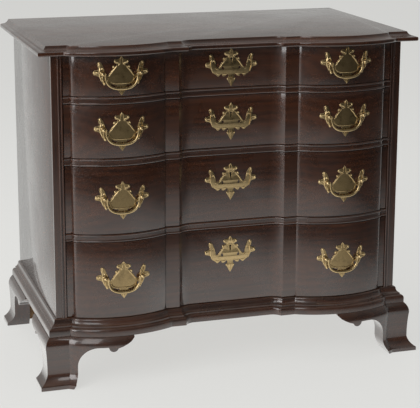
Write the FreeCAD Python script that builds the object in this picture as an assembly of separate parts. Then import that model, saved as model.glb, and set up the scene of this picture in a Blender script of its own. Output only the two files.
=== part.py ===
import FreeCAD, Part

import math
import os

# Block front chest of drawers, in millimetres.
# X runs along the front, Y from front to back, Z up from the floor.
# The shapes are worked out with Y = 0 at the faces of the stiles. When they are
# written they are moved along Y, so that the chest stands centred on the origin.

# ---------------------------------------------------------------- case
CASE_WIDTH = 838.0
CASE_DEPTH = 476.0
SIDE_THICKNESS = 25.5
STILE_THICKNESS = 8.0
TOP_THICKNESS = 21.0
TOP_FRONT_OVERHANG = 27.0
TOP_SIDE_OVERHANG = 32.0
TOP_BACK_OVERHANG = 3.0
BOTTOM_THICKNESS = 18.0
BACK_THICKNESS = 12.0
BACK_LAP = 12.0
BACK_BOARD_COUNT = 3
BACK_BOARD_GAP = 1.0
BLADE_THICKNESS = 17.5
BLADE_DEPTH = 75.0
BASE_DEPTH = 30.0
HOUSING_DEPTH = 10.0
RUNNER_WIDTH = 20.0

# ---------------------------------------------------------------- heights
FOOT_HEIGHT = 118.0
BASE_MOULDING_HEIGHT = 38.0
OPENING_HEIGHTS = (93.5, 122.5, 158.0, 180.5)

# ---------------------------------------------------------------- blocked front line
BLOCK_MARGIN = 15.5
BLOCK_HALF_WIDTH = 110.0
BLOCK_RISE = 36.0
SHOULDER_RADIUS = 14.0
FILLET_WIDTH = 30.0
FILLET_RISE = 8.0
COVE_RADIUS = 45.0
RECESS_DEPTH = 6.5

# ---------------------------------------------------------------- beads
BEAD_WIDTH = 5.0
BEAD_RISE = 2.5
BEAD_BEVEL = 1.0
STILE_BEAD_GAP = 1.5

# ---------------------------------------------------------------- feet
TOE_OFFSET = 46.5
TOE_PAD = 9.0
INSTEP_OFFSETS = (38.5, 31.5)
INSTEP_RISES = (6.0, 13.5)
ANKLE_OFFSET = 28.5
ANKLE_TOP_DROP = 68.0
BULGE_OFFSET = 32.5
BULGE_DROP = 24.0
BULGE_TOP_OFFSET = 29.5
BULGE_TOP_DROP = 7.0
FOOT_TOP_OFFSET = 22.0
FOOT_INSET = 10.0
FRONT_ANKLE = 40.0
SIDE_ANKLE = 30.0
REAR_ANKLE = 68.0
BACK_BRACKET_THICKNESS = 18.0
BACK_BRACKET_ANKLE = 36.0
BACK_BRACKET_END = 160.0
BACK_BRACKET_EDGE = 26.0
TOE_SLOPE = 13.0
HEEL_RISE = 7.0
ANKLE_RISE = 23.0
ARCH_RUN = 48.0
ARCH_FLAT = 20.0
ARCH_TOP_DROP = 22.0
LOBE_RADIUS = 11.0
LOBE_END_DROP = 3.0
BRACKET_REACH = 39.0
BRACKET_SAG = 2.0
BRACKET_TIP = 3.0
FOOT_BLOCK = 17.0
FOOT_BLOCK_LIFT = 8.0

# ---------------------------------------------------------------- drawers
DRAWER_GAP = 1.2
DRAWER_FRONT_BACK = 28.0
DRAWER_STOP_GAP = 0.3
DRAWER_SIDE_THICKNESS = 11.0
DRAWER_SIDE_GAP = 1.0
DRAWER_SIDE_DROP = 4.0
DRAWER_SIDE_LAP = 13.0
DRAWER_BOTTOM_THICKNESS = 7.0
DRAWER_BOTTOM_LIFT = 9.0
GROOVE_DEPTH = 5.0

# ---------------------------------------------------------------- brasses
PLATE_THICKNESS = 1.6
PLATE_FLATS = 7
PLATE_DROP = 5.5
ESCUTCHEON_DROP = 63.0
KEYHOLE_LIFT = 10.5
KEYHOLE_WIDTH = 3.5
KEYHOLE_HEIGHT = 13.0
POST_SPACING = 86.0
POST_SIDES = 8
POST_NECK = 8.0
POST_HEAD = 10.0
POST_TIP = 5.6
POST_HEAD_HALF_LENGTH = 2.6
POST_CROWN = 2.8
POST_SHANK = 4.0
POST_SHANK_CLEARANCE = 0.1
POST_NUT = 9.0
POST_NUT_THICKNESS = 3.0
POST_SHANK_END = 1.5
BAIL_PIN_RADIUS = 1.65
BAIL_PIN_CLEARANCE = 0.05
BAIL_PIN_DEPTH = 3.6
BAIL_PIN_END_GAP = 0.4
BAIL_POST_GAP = 1.0
BAIL_END_RADIUS = 2.2
BAIL_MIDDLE_RADIUS = 3.2
BAIL_DROP = 34.5
BAIL_SQUARENESS = 2.5
BAIL_PLATE_CLEARANCE = 0.4
BAIL_SIDES = 6
BAIL_STEPS = 8

# ---------------------------------------------------------------- locks
LOCK_WIDTH = 62.0
LOCK_HEIGHT = 56.0
LOCK_THICKNESS = 10.0
BOLT_WIDTH = 16.0
BOLT_THICKNESS = 6.0
BOLT_LENGTH = 26.0
BOLT_THROW = 8.0
BOLT_CLEARANCE = 0.3
BOLT_SET_DOWN = 0.5
MORTISE_CLEARANCE = 1.5

# ---------------------------------------------------------------- worked out
HALF_CASE = CASE_WIDTH / 2
OPENING_HALF = HALF_CASE - SIDE_THICKNESS
BASE_TOP = FOOT_HEIGHT + BASE_MOULDING_HEIGHT
BLADE_COUNT = len(OPENING_HEIGHTS) - 1
TOP_UNDERSIDE = BASE_TOP + sum(OPENING_HEIGHTS) + BLADE_COUNT * BLADE_THICKNESS
INNER_BACK = CASE_DEPTH - BACK_THICKNESS

BLOCK_CENTRE = OPENING_HALF - BLOCK_MARGIN - BLOCK_HALF_WIDTH
SHOULDER_REACH = BLOCK_HALF_WIDTH - SHOULDER_RADIUS
BLOCK_RADIUS = (
    (SHOULDER_REACH**2 + BLOCK_RISE**2 - SHOULDER_RADIUS**2) / (2 * (BLOCK_RISE - SHOULDER_RADIUS))
)
BLOCK_AXIS_Y = BLOCK_RADIUS - BLOCK_RISE
SHOULDER_ANGLE = math.asin(SHOULDER_REACH / (BLOCK_RADIUS - SHOULDER_RADIUS))
FILLET_EDGE = BLOCK_CENTRE - BLOCK_HALF_WIDTH - FILLET_WIDTH
COVE_START = FILLET_EDGE - math.sqrt(COVE_RADIUS**2 - (COVE_RADIUS - RECESS_DEPTH - FILLET_RISE)**2)

POST_FROM_CENTRE = POST_SPACING / 2
PLATE_RADIUS = BLOCK_RADIUS + PLATE_THICKNESS
PLATE_FLAT_ANGLE = math.asin(POST_FROM_CENTRE / PLATE_RADIUS) / 2
PIVOT_Y = -(BLOCK_RISE + PLATE_THICKNESS + BAIL_PLATE_CLEARANCE + BAIL_MIDDLE_RADIUS)
DRAWER_SIDE_FACE = OPENING_HALF - DRAWER_SIDE_GAP

# The edge of the top: how far each point lies behind the nose, and its height
# above the underside. A rounded nose, a small step, then a cove up to the arris.
TOP_EDGE = (
    (2.5, 0.0),
    (0.0, 3.5),
    (0.0, 7.5),
    (4.0, 10.5),
    (15.0, 13.5),
    (20.5, TOP_THICKNESS),
)

# The base moulding: offset from the case and depth below its top. A bead, a cove
# and a torus over a plain band.
BASE_EDGE = (
    (2.0, 0.0),
    (5.5, 4.0),
    (9.5, 11.5),
    (13.5, 16.5),
    (21.0, 23.5),
    (21.0, BASE_MOULDING_HEIGHT),
)

# The ogee of the feet: offset from the case and height above the floor.
FOOT_EDGE = (
    (TOE_OFFSET, 0.0),
    (TOE_OFFSET, TOE_PAD),
    (INSTEP_OFFSETS[0], TOE_PAD + INSTEP_RISES[0]),
    (INSTEP_OFFSETS[1], TOE_PAD + INSTEP_RISES[1]),
    (ANKLE_OFFSET, TOE_PAD + ANKLE_RISE),
    (ANKLE_OFFSET, FOOT_HEIGHT - ANKLE_TOP_DROP),
    (BULGE_OFFSET, FOOT_HEIGHT - BULGE_DROP),
    (BULGE_TOP_OFFSET, FOOT_HEIGHT - BULGE_TOP_DROP),
    (FOOT_TOP_OFFSET, FOOT_HEIGHT),
)

# Half outlines of the brasses, from the crest down, as distances from the middle
# line and from the line of the posts. The pull plates and the escutcheons share
# the crest and the scrolled arms, and differ along the lower edge.
BRASS_CREST = ((0.0, 38.5), (17.0, 26.0), (10.0, 17.0), (24.5, 6.5))
BRASS_ARM = (
    (38.0, 11.0),
    (49.0, 26.0),
    (51.0, 9.0),
    (62.0, 5.0),
    (62.0, -3.5),
    (50.5, -7.5),
    (38.5, -26.0),
)
PULL_TAIL = ((24.0, -29.0), (9.0, -37.0), (0.0, -49.5))
ESCUTCHEON_TAIL = ((20.0, -26.0), (8.0, -21.0), (10.5, -31.0), (5.5, -39.0), (0.0, -49.5))


# ---------------------------------------------------------------- helpers
def box(x0, x1, y0, y1, z0, z1):
    """Box between two corners."""
    return Part.makeBox(x1 - x0, y1 - y0, z1 - z0, FreeCAD.Vector(x0, y0, z0))


def mirrored(shape):
    """The same shape on the other side of the chest."""
    return shape.mirror(FreeCAD.Vector(0, 0, 0), FreeCAD.Vector(1, 0, 0))


def polygon(points):
    """Closed wire through points."""
    corners = [FreeCAD.Vector(*point) for point in points]
    return Part.makePolygon(corners + corners[:1])


def prism(points, direction):
    """Solid made by moving a flat outline along a direction."""
    return Part.Face(polygon(points)).extrude(FreeCAD.Vector(*direction))


def joined(*solids):
    """Solids of one piece, joined and cleaned of the seams between them."""
    return solids[0].fuse(list(solids[1:])).removeSplitter().Solids[0]


def both_sides(solid):
    """A solid and its mirror image on the other side of the chest."""
    return [solid, mirrored(solid)]


def closed_solid(faces):
    """Solid inside faces that meet edge to edge."""
    shell = Part.Shell(faces)
    shell.sewShape()
    solid = Part.Solid(shell)
    if solid.Volume < 0:
        solid.reverse()
    return solid


def ring(centre, first_axis, second_axis, radius, sides):
    """Corners of a regular polygon that lies along two axes, a flat facing each axis."""
    corners = []
    for index in range(sides):
        angle = 2 * math.pi * (index + 0.5) / sides
        across = first_axis * (radius * math.cos(angle))
        corners.append(centre + across + second_axis * (radius * math.sin(angle)))
    return corners


def faceted(rings):
    """Solid with flat facets between rings that have the same number of corners."""
    faces = [Part.Face(polygon(rings[0])), Part.Face(polygon(rings[-1]))]
    for here, there in zip(rings, rings[1:]):
        for index, corner in enumerate(here):
            following = (index + 1) % len(here)
            faces.append(Part.Face(polygon([corner, here[following], there[following]])))
            faces.append(Part.Face(polygon([corner, there[following], there[index]])))
    return closed_solid(faces)


def opening_bottom(number):
    """Height of the bottom of the opening for drawer 1 (top) to 4 (bottom)."""
    below = OPENING_HEIGHTS[number:]
    return BASE_TOP + sum(below) + len(below) * BLADE_THICKNESS


# ---------------------------------------------------------------- the blocked front line
def from_front(centre_x, centre_y, radius, angle):
    """Point on a circle, at an angle from straight forward turning towards +X."""
    return (centre_x + radius * math.sin(angle), centre_y - radius * math.cos(angle))


def block_points(offset):
    """Corners and arc middles of the right block, from its outer to its inner end.

    The block is one large arc between two small shoulders. An offset moves the
    line forward square to itself, as a moulding does.
    """
    outer = BLOCK_CENTRE + SHOULDER_REACH
    inner = BLOCK_CENTRE - SHOULDER_REACH
    radius = SHOULDER_RADIUS + offset
    margin_angle = math.acos(offset / radius)
    strip_angle = math.acos((FILLET_RISE + offset) / radius)
    return {
        "block_start": from_front(outer, 0, radius, margin_angle),
        "outer_shoulder": from_front(outer, 0, radius, (margin_angle + SHOULDER_ANGLE) / 2),
        "outer_tangent": from_front(outer, 0, radius, SHOULDER_ANGLE),
        "block_middle": (BLOCK_CENTRE, -(BLOCK_RISE + offset)),
        "inner_tangent": from_front(inner, 0, radius, -SHOULDER_ANGLE),
        "inner_shoulder": from_front(inner, 0, radius, -(strip_angle + SHOULDER_ANGLE) / 2),
        "strip_start": from_front(inner, 0, radius, -strip_angle),
    }


def cove_points(offset):
    """End of the flat strip beside the right block, and the cove down to the recess."""
    cove = COVE_RADIUS - offset
    cove_y = RECESS_DEPTH - COVE_RADIUS
    cove_angle = math.acos((-FILLET_RISE - offset - cove_y) / cove)
    return {
        "strip_end": from_front(COVE_START, cove_y, -cove, -cove_angle),
        "cove_middle": from_front(COVE_START, cove_y, -cove, -cove_angle / 2),
        "recess_start": (COVE_START, RECESS_DEPTH - offset),
    }


def front_edges(offset, z, end_x):
    """Edges of the whole front line at a height, from -end_x to end_x."""
    points = block_points(offset) | cove_points(offset)

    def right(name):
        x, y = points[name]
        return FreeCAD.Vector(x, y, z)

    def left(name):
        x, y = points[name]
        return FreeCAD.Vector(-x, y, z)

    def half(at, end):
        return [
            Part.LineSegment(end, at("block_start")).toShape(),
            Part.Arc(at("block_start"), at("outer_shoulder"), at("outer_tangent")).toShape(),
            Part.Arc(at("outer_tangent"), at("block_middle"), at("inner_tangent")).toShape(),
            Part.Arc(at("inner_tangent"), at("inner_shoulder"), at("strip_start")).toShape(),
            Part.LineSegment(at("strip_start"), at("strip_end")).toShape(),
            Part.Arc(at("strip_end"), at("cove_middle"), at("recess_start")).toShape(),
        ]

    left_half = half(left, FreeCAD.Vector(-end_x, -offset, z))
    right_half = half(right, FreeCAD.Vector(end_x, -offset, z))
    recess = Part.LineSegment(left("recess_start"), right("recess_start")).toShape()
    return left_half + [recess] + right_half[::-1]


def board_section(offset, z, end_x, back_y):
    """Outline of a board with the blocked front line and straight ends and back."""
    corners = (
        FreeCAD.Vector(end_x, -offset, z),
        FreeCAD.Vector(end_x, back_y, z),
        FreeCAD.Vector(-end_x, back_y, z),
        FreeCAD.Vector(-end_x, -offset, z),
    )
    plain = [Part.LineSegment(a, b).toShape() for a, b in zip(corners, corners[1:])]
    return Part.Wire(front_edges(offset, z, end_x) + plain)


def moulded(sections):
    """Solid with straight walls between outlines at successive heights."""
    loft = Part.makeLoft(sections, True, True)
    flat = [Part.Face(face.OuterWire) if face.findPlane() else face for face in loft.Faces]
    return closed_solid(flat)


# ---------------------------------------------------------------- case
def lock_mortise(z):
    """Room for a lock's bolt above the height z."""
    half_width = BOLT_WIDTH / 2 + MORTISE_CLEARANCE
    bolt_front, bolt_back = bolt_faces()
    return box(
        -half_width,
        half_width,
        bolt_front - MORTISE_CLEARANCE,
        bolt_back + MORTISE_CLEARANCE,
        z,
        z + BOLT_THROW + MORTISE_CLEARANCE,
    )


def top_board():
    """Top with its moulded edge along the blocked front and the two sides."""
    extra = TOP_SIDE_OVERHANG - TOP_FRONT_OVERHANG
    back_y = CASE_DEPTH + TOP_BACK_OVERHANG
    sections = []
    for setback, rise in TOP_EDGE:
        offset = TOP_FRONT_OVERHANG - setback
        z = TOP_UNDERSIDE + rise
        sections.append(board_section(offset, z, HALF_CASE + offset + extra, back_y))
    return moulded(sections).cut(lock_mortise(TOP_UNDERSIDE))


def blade(number):
    """Rail under drawer 1, 2 or 3, with a bead along each edge of its face."""
    z0 = opening_bottom(number) - BLADE_THICKNESS
    profile = (
        (0.0, 0.0),
        (BEAD_RISE, BEAD_WIDTH / 2),
        (0.0, BEAD_WIDTH),
        (0.0, BLADE_THICKNESS - BEAD_WIDTH),
        (BEAD_RISE, BLADE_THICKNESS - BEAD_WIDTH / 2),
        (0.0, BLADE_THICKNESS),
    )
    rail = moulded([board_section(rise, z0 + up, OPENING_HALF, BLADE_DEPTH) for rise, up in profile])
    end = OPENING_HALF + HOUSING_DEPTH
    tongue = box(OPENING_HALF, end, STILE_THICKNESS, BLADE_DEPTH, z0, z0 + BLADE_THICKNESS)
    return joined(rail, *both_sides(tongue)).cut(lock_mortise(z0))


def bottom_board():
    """Bottom of the case, housed in the sides, behind the base moulding."""
    end = OPENING_HALF + HOUSING_DEPTH
    return box(-end, end, BASE_DEPTH, INNER_BACK, BASE_TOP - BOTTOM_THICKNESS, BASE_TOP)


def case_side():
    """Right side of the case, housed for the blades and bottom, rebated for the back."""
    board = box(OPENING_HALF, HALF_CASE, STILE_THICKNESS, CASE_DEPTH, FOOT_HEIGHT, TOP_UNDERSIDE)
    lap = OPENING_HALF + BACK_LAP
    housing_end = OPENING_HALF + HOUSING_DEPTH
    bottom_z = BASE_TOP - BOTTOM_THICKNESS
    cuts = [
        box(OPENING_HALF, lap, INNER_BACK, CASE_DEPTH, FOOT_HEIGHT, TOP_UNDERSIDE),
        box(OPENING_HALF, housing_end, BASE_DEPTH, INNER_BACK, bottom_z, BASE_TOP),
    ]
    for number in range(1, BLADE_COUNT + 1):
        z1 = opening_bottom(number)
        z0 = z1 - BLADE_THICKNESS
        cuts.append(box(OPENING_HALF, housing_end, STILE_THICKNESS, BLADE_DEPTH, z0, z1))
    return board.cut(cuts)


def stile():
    """Right facing strip of the case, with two beads along its inner edge."""
    points = [(OPENING_HALF, STILE_THICKNESS)]
    for start in (0.0, BEAD_WIDTH + STILE_BEAD_GAP):
        edge = OPENING_HALF + start
        points.append((edge, 0.0))
        points.append((edge + BEAD_BEVEL, -BEAD_RISE))
        points.append((edge + BEAD_WIDTH - BEAD_BEVEL, -BEAD_RISE))
        points.append((edge + BEAD_WIDTH, 0.0))
    points.append((HALF_CASE, 0.0))
    points.append((HALF_CASE, STILE_THICKNESS))
    outline = [(x, y, BASE_TOP) for x, y in points]
    return prism(outline, (0, 0, TOP_UNDERSIDE - BASE_TOP))


def back_boards():
    """Horizontal boards that close the back, in the rebates of the sides."""
    pitch = (TOP_UNDERSIDE - FOOT_HEIGHT + BACK_BOARD_GAP) / BACK_BOARD_COUNT
    half_width = OPENING_HALF + BACK_LAP
    boards = []
    for index in range(BACK_BOARD_COUNT):
        z0 = FOOT_HEIGHT + index * pitch
        z1 = z0 + pitch - BACK_BOARD_GAP
        boards.append(box(-half_width, half_width, INNER_BACK, CASE_DEPTH, z0, z1))
    return boards


def drawer_runners():
    """Runners behind the blades, one on each side of the case."""
    runners = []
    for number in range(1, BLADE_COUNT + 1):
        z1 = opening_bottom(number)
        z0 = z1 - BLADE_THICKNESS
        inner = OPENING_HALF - RUNNER_WIDTH
        runners += both_sides(box(inner, OPENING_HALF, BLADE_DEPTH, INNER_BACK, z0, z1))
    return runners


# ---------------------------------------------------------------- base
def base_moulding_front():
    """Moulding along the blocked front, sawn from one plank and mitred at both ends.

    Its back is straight, with a step around the front edge of each side.
    """
    sections = []
    for offset, drop in BASE_EDGE:
        z = BASE_TOP - drop
        half_back = (
            (HALF_CASE + offset, -offset),
            (HALF_CASE, 0.0),
            (HALF_CASE, STILE_THICKNESS),
            (OPENING_HALF, STILE_THICKNESS),
            (OPENING_HALF, BASE_DEPTH),
        )
        right = [FreeCAD.Vector(x, y, z) for x, y in half_back]
        left = [FreeCAD.Vector(-x, y, z) for x, y in half_back]
        corners = right + left[::-1]
        back = [Part.LineSegment(a, b).toShape() for a, b in zip(corners, corners[1:])]
        sections.append(Part.Wire(front_edges(offset, z, HALF_CASE + offset) + back))
    return moulded(sections)


def side_moulding(profile, end_y):
    """Solid along the right side, from its mitre at the front corner back to end_y.

    The profile is a list of offsets from the case and heights.
    """
    reach = TOE_OFFSET + FOOT_INSET
    outline = [(HALF_CASE + offset, -reach, z) for offset, z in profile]
    strip = prism(outline, (0, end_y + reach, 0))
    mitre = [
        (HALF_CASE - reach, reach, 0.0),
        (HALF_CASE - reach, -reach, 0.0),
        (HALF_CASE + reach, -reach, 0.0),
    ]
    return strip.cut(prism(mitre, (0, 0, BASE_TOP))).Solids[0]


def base_moulding_side():
    """Moulding along the right side of the case."""
    profile = [(offset, BASE_TOP - drop) for offset, drop in BASE_EDGE]
    back = [(0.0, FOOT_HEIGHT), (0.0, BASE_TOP)]
    return side_moulding(profile + back, CASE_DEPTH)


# ---------------------------------------------------------------- feet
def bracket_outline(ankle):
    """Edges of a foot bracket seen square on, as distances from the corner and heights.

    From the toe the outline climbs the ankle, arches over, drops in a round lobe
    and sweeps up to the end of the bracket under the base moulding.
    """
    beyond = -(TOE_OFFSET + FOOT_INSET)
    arch_top = FOOT_HEIGHT - ARCH_TOP_DROP
    arch_spring = arch_top - ARCH_RUN
    arch_end = ankle + ARCH_RUN
    arch_middle = ARCH_RUN * math.sqrt(0.5)
    lobe_start = arch_end + ARCH_FLAT
    lobe_end = lobe_start + 2 * LOBE_RADIUS
    bracket_end = lobe_end + BRACKET_REACH
    sweep_start = arch_top - LOBE_END_DROP
    sweep_end = FOOT_HEIGHT - BRACKET_TIP

    def line(start, end):
        return Part.LineSegment(FreeCAD.Vector(*start, 0), FreeCAD.Vector(*end, 0)).toShape()

    def arc(start, middle, end):
        return Part.Arc(*(FreeCAD.Vector(*place, 0) for place in (start, middle, end))).toShape()

    toe = (ankle - TOE_SLOPE, 0.0)
    heel = (ankle - TOE_SLOPE / 3, TOE_PAD + HEEL_RISE)
    ankle_foot = (ankle, TOE_PAD + ANKLE_RISE)
    spring = (ankle, arch_spring)
    arch = (arch_end - arch_middle, arch_spring + arch_middle)
    crown = (arch_end, arch_top)
    lobe_left = (lobe_start, arch_top)
    lobe_bottom = (lobe_start + LOBE_RADIUS, arch_top - LOBE_RADIUS)
    lobe_right = (lobe_end, sweep_start)
    sweep = (lobe_end + BRACKET_REACH / 2, (sweep_start + sweep_end) / 2 - BRACKET_SAG)
    tip = (bracket_end, sweep_end)
    return [
        line((beyond, 0.0), toe),
        arc(toe, heel, ankle_foot),
        line(ankle_foot, spring),
        arc(spring, arch, crown),
        line(crown, lobe_left),
        arc(lobe_left, lobe_bottom, lobe_right),
        arc(lobe_right, sweep, tip),
        line(tip, (bracket_end, FOOT_HEIGHT)),
        line((bracket_end, FOOT_HEIGHT), (beyond, FOOT_HEIGHT)),
        line((beyond, FOOT_HEIGHT), (beyond, 0.0)),
    ]


def bracket_blank(ankle):
    """The bracket outline as a thick plate, standing in the XZ plane and wide in Y."""
    reach = BLOCK_RISE + TOE_OFFSET
    face = Part.Face(Part.Wire(bracket_outline(ankle)))
    plate = face.extrude(FreeCAD.Vector(0, 0, reach + reach))
    plate.rotate(FreeCAD.Vector(0, 0, 0), FreeCAD.Vector(1, 0, 0), 90)
    plate.translate(FreeCAD.Vector(0, reach, 0))
    return plate


def facing_front(plate):
    """Turn a blank so that distances run inward from the right front corner."""
    turned = mirrored(plate)
    turned.translate(FreeCAD.Vector(HALF_CASE, 0, 0))
    return turned


def facing_side(plate, corner_y):
    """Turn a blank so that distances run along the right side from corner_y."""
    turned = plate.copy()
    turned.rotate(FreeCAD.Vector(0, 0, 0), FreeCAD.Vector(0, 0, 1), 90)
    turned.translate(FreeCAD.Vector(HALF_CASE, corner_y, 0))
    return turned


def front_foot_face():
    """Front bracket of the right front foot, with the block carried down into it."""
    sections = []
    for offset, z in FOOT_EDGE:
        points = block_points(offset)
        names = ("block_start", "outer_shoulder", "outer_tangent", "block_middle", "inner_tangent")
        start, shoulder, tangent, middle, end = (FreeCAD.Vector(*points[name], z) for name in names)
        corner = FreeCAD.Vector(HALF_CASE + offset, -offset, z)
        inner_corner = FreeCAD.Vector(HALF_CASE - FOOT_INSET, FOOT_INSET, z)
        inner_end = FreeCAD.Vector(end.x, FOOT_INSET, z)
        section = [
            Part.LineSegment(corner, start).toShape(),
            Part.Arc(start, shoulder, tangent).toShape(),
            Part.Arc(tangent, middle, end).toShape(),
            Part.LineSegment(end, inner_end).toShape(),
            Part.LineSegment(inner_end, inner_corner).toShape(),
            Part.LineSegment(inner_corner, corner).toShape(),
        ]
        sections.append(Part.Wire(section))
    return moulded(sections).common(facing_front(bracket_blank(FRONT_ANKLE))).Solids[0]


def side_bracket_profile():
    """Section of a side bracket: the ogee outside and a flat inside."""
    inside = [(-FOOT_INSET, FOOT_HEIGHT), (-FOOT_INSET, 0.0)]
    return list(FOOT_EDGE) + inside


def front_foot_side():
    """Side bracket of the right front foot, mitred to the front bracket."""
    body = side_moulding(side_bracket_profile(), CASE_DEPTH / 2)
    return body.common(facing_side(bracket_blank(SIDE_ANKLE), 0)).Solids[0]


def back_bracket():
    """Plain bracket across the back of the right rear foot, straight from ankle to end."""
    corner = HALF_CASE - FOOT_INSET
    y = CASE_DEPTH - BACK_BRACKET_THICKNESS
    outline = [
        (corner, y, 0.0),
        (corner - BACK_BRACKET_ANKLE, y, 0.0),
        (corner - BACK_BRACKET_ANKLE - FOOT_INSET, y, FOOT_HEIGHT / 2),
        (corner - BACK_BRACKET_END, y, FOOT_HEIGHT - BACK_BRACKET_EDGE),
        (corner - BACK_BRACKET_END, y, FOOT_HEIGHT),
        (corner, y, FOOT_HEIGHT),
    ]
    return prism(outline, (0, BACK_BRACKET_THICKNESS, 0))


def rear_foot():
    """Side bracket and back bracket of the right rear foot."""
    body = side_moulding(side_bracket_profile(), CASE_DEPTH)
    blank = facing_side(mirrored(bracket_blank(REAR_ANKLE)), CASE_DEPTH)
    return [body.common(blank).Solids[0], back_bracket()]


def foot_blocks():
    """Glue blocks in the corners of the feet, under the sides of the case."""
    outer = HALF_CASE - FOOT_INSET
    inner = outer - FOOT_BLOCK
    front_y = FOOT_INSET
    rear_y = CASE_DEPTH - BACK_BRACKET_THICKNESS - FOOT_BLOCK
    blocks = []
    for y in (front_y, rear_y):
        blocks += both_sides(box(inner, outer, y, y + FOOT_BLOCK, FOOT_BLOCK_LIFT, FOOT_HEIGHT))
    return blocks


# ---------------------------------------------------------------- drawers
def bolt_faces():
    """Front and back of a lock's bolt, in the middle of the thickness of the lock."""
    middle = DRAWER_FRONT_BACK - LOCK_THICKNESS / 2
    return middle - BOLT_THICKNESS / 2, middle + BOLT_THICKNESS / 2


def drawer_heights(number):
    """Bottom and top of the front of a drawer."""
    z0 = opening_bottom(number)
    return z0 + DRAWER_GAP, z0 + OPENING_HEIGHTS[number - 1] - DRAWER_GAP


def pull_height(number):
    """Height of the posts of a drawer's pulls: the plates stand in the middle of the front."""
    bottom, top = drawer_heights(number)
    return (bottom + top) / 2 + PLATE_DROP


def escutcheon_height(number):
    """Height of the same line on the escutcheon, which stays near the lock."""
    bottom, top = drawer_heights(number)
    return max((bottom + top) / 2, top - ESCUTCHEON_DROP) + PLATE_DROP


def post_places():
    """X of the four posts of a drawer."""
    return [
        side * BLOCK_CENTRE + end * POST_FROM_CENTRE
        for side in (-1, 1)
        for end in (-1, 1)
    ]


def drawer_lock_box(top):
    """Space of a lock case, flush with the back and the top of a drawer front."""
    half_width = LOCK_WIDTH / 2
    front = DRAWER_FRONT_BACK - LOCK_THICKNESS
    return box(-half_width, half_width, front, DRAWER_FRONT_BACK, top - LOCK_HEIGHT, top)


def keyhole(number):
    """Upright slot for the key, from the escutcheon to the lock."""
    half_width = KEYHOLE_WIDTH / 2
    z0 = escutcheon_height(number) + KEYHOLE_LIFT - KEYHOLE_HEIGHT / 2
    front = RECESS_DEPTH - PLATE_THICKNESS
    back = DRAWER_FRONT_BACK - LOCK_THICKNESS
    return box(-half_width, half_width, front, back, z0, z0 + KEYHOLE_HEIGHT)


def drawer_bottom(number):
    """Bottom panel of a drawer, in grooves of the front and the sides."""
    z0 = opening_bottom(number) + DRAWER_BOTTOM_LIFT
    end = DRAWER_SIDE_FACE - DRAWER_SIDE_THICKNESS + GROOVE_DEPTH
    front = DRAWER_FRONT_BACK - GROOVE_DEPTH
    return box(-end, end, front, drawer_end_y(), z0, z0 + DRAWER_BOTTOM_THICKNESS)


def drawer_end_y():
    """Back end of every drawer, just short of the back boards that stop it."""
    return INNER_BACK - DRAWER_STOP_GAP


def drawer_side_top(number):
    """Upper edge of the sides and back of a drawer."""
    return opening_bottom(number) + OPENING_HEIGHTS[number - 1] - DRAWER_SIDE_DROP


def post_holes(number):
    """Square holes for the shanks of the four posts of a drawer, through front and plates."""
    reach = POST_SHANK / 2 + POST_SHANK_CLEARANCE
    z = pull_height(number)
    return [
        box(x - reach, x + reach, PIVOT_Y, DRAWER_FRONT_BACK, z - reach, z + reach)
        for x in post_places()
    ]


def drawer_front(number):
    """Front sawn from one thick board to the blocked line, flat behind."""
    bottom, top = drawer_heights(number)
    half_width = OPENING_HALF - DRAWER_GAP
    outline = Part.Face(board_section(0.0, bottom, half_width, DRAWER_FRONT_BACK))
    front = outline.extrude(FreeCAD.Vector(0, 0, top - bottom))
    inner = DRAWER_SIDE_FACE - DRAWER_SIDE_THICKNESS
    lap_y = DRAWER_FRONT_BACK - DRAWER_SIDE_LAP
    side_top = drawer_side_top(number)
    cuts = both_sides(box(inner, OPENING_HALF, lap_y, DRAWER_FRONT_BACK, bottom, side_top))
    cuts += post_holes(number)
    cuts += [drawer_lock_box(top), drawer_bottom(number), keyhole(number)]
    return front.cut(cuts)


def drawer_sides(number):
    """The two sides of a drawer, let into the front and grooved for the bottom."""
    z0 = opening_bottom(number)
    z1 = drawer_side_top(number)
    inner = DRAWER_SIDE_FACE - DRAWER_SIDE_THICKNESS
    lap_y = DRAWER_FRONT_BACK - DRAWER_SIDE_LAP
    rear = box(inner, DRAWER_SIDE_FACE, DRAWER_FRONT_BACK, drawer_end_y(), z0, z1)
    tongue = box(inner, DRAWER_SIDE_FACE, lap_y, DRAWER_FRONT_BACK, z0 + DRAWER_GAP, z1)
    return both_sides(joined(rear, tongue).cut(drawer_bottom(number)))


def drawer_back(number):
    """Back of a drawer, between the sides and over the bottom."""
    end = DRAWER_SIDE_FACE - DRAWER_SIDE_THICKNESS
    z0 = opening_bottom(number) + DRAWER_BOTTOM_LIFT + DRAWER_BOTTOM_THICKNESS
    front = drawer_end_y() - DRAWER_SIDE_THICKNESS
    return box(-end, end, front, drawer_end_y(), z0, drawer_side_top(number))


# ---------------------------------------------------------------- brasses
def brass_outline(tail, centre_x, line_z, y):
    """Whole outline of a plate from its half, placed at a height and distance."""
    half = BRASS_CREST + BRASS_ARM + tail
    right = [(centre_x + out, y, line_z + up) for out, up in half]
    left = [(centre_x - out, y, line_z + up) for out, up in half[1:-1]]
    return right + left[::-1]


def bent_strip(centre_x, z0, height):
    """Sheet of brass in narrow flats around a block, one of them square to each post."""

    def bends(radius):
        corner_radius = radius / math.cos(PLATE_FLAT_ANGLE / 2)
        angles = [(index - PLATE_FLATS / 2) * PLATE_FLAT_ANGLE for index in range(PLATE_FLATS + 1)]
        corners = [from_front(centre_x, BLOCK_AXIS_Y, corner_radius, angle) for angle in angles]
        return [(x, y, z0) for x, y in corners]

    return prism(bends(BLOCK_RADIUS) + bends(PLATE_RADIUS)[::-1], (0, 0, height))


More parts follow.
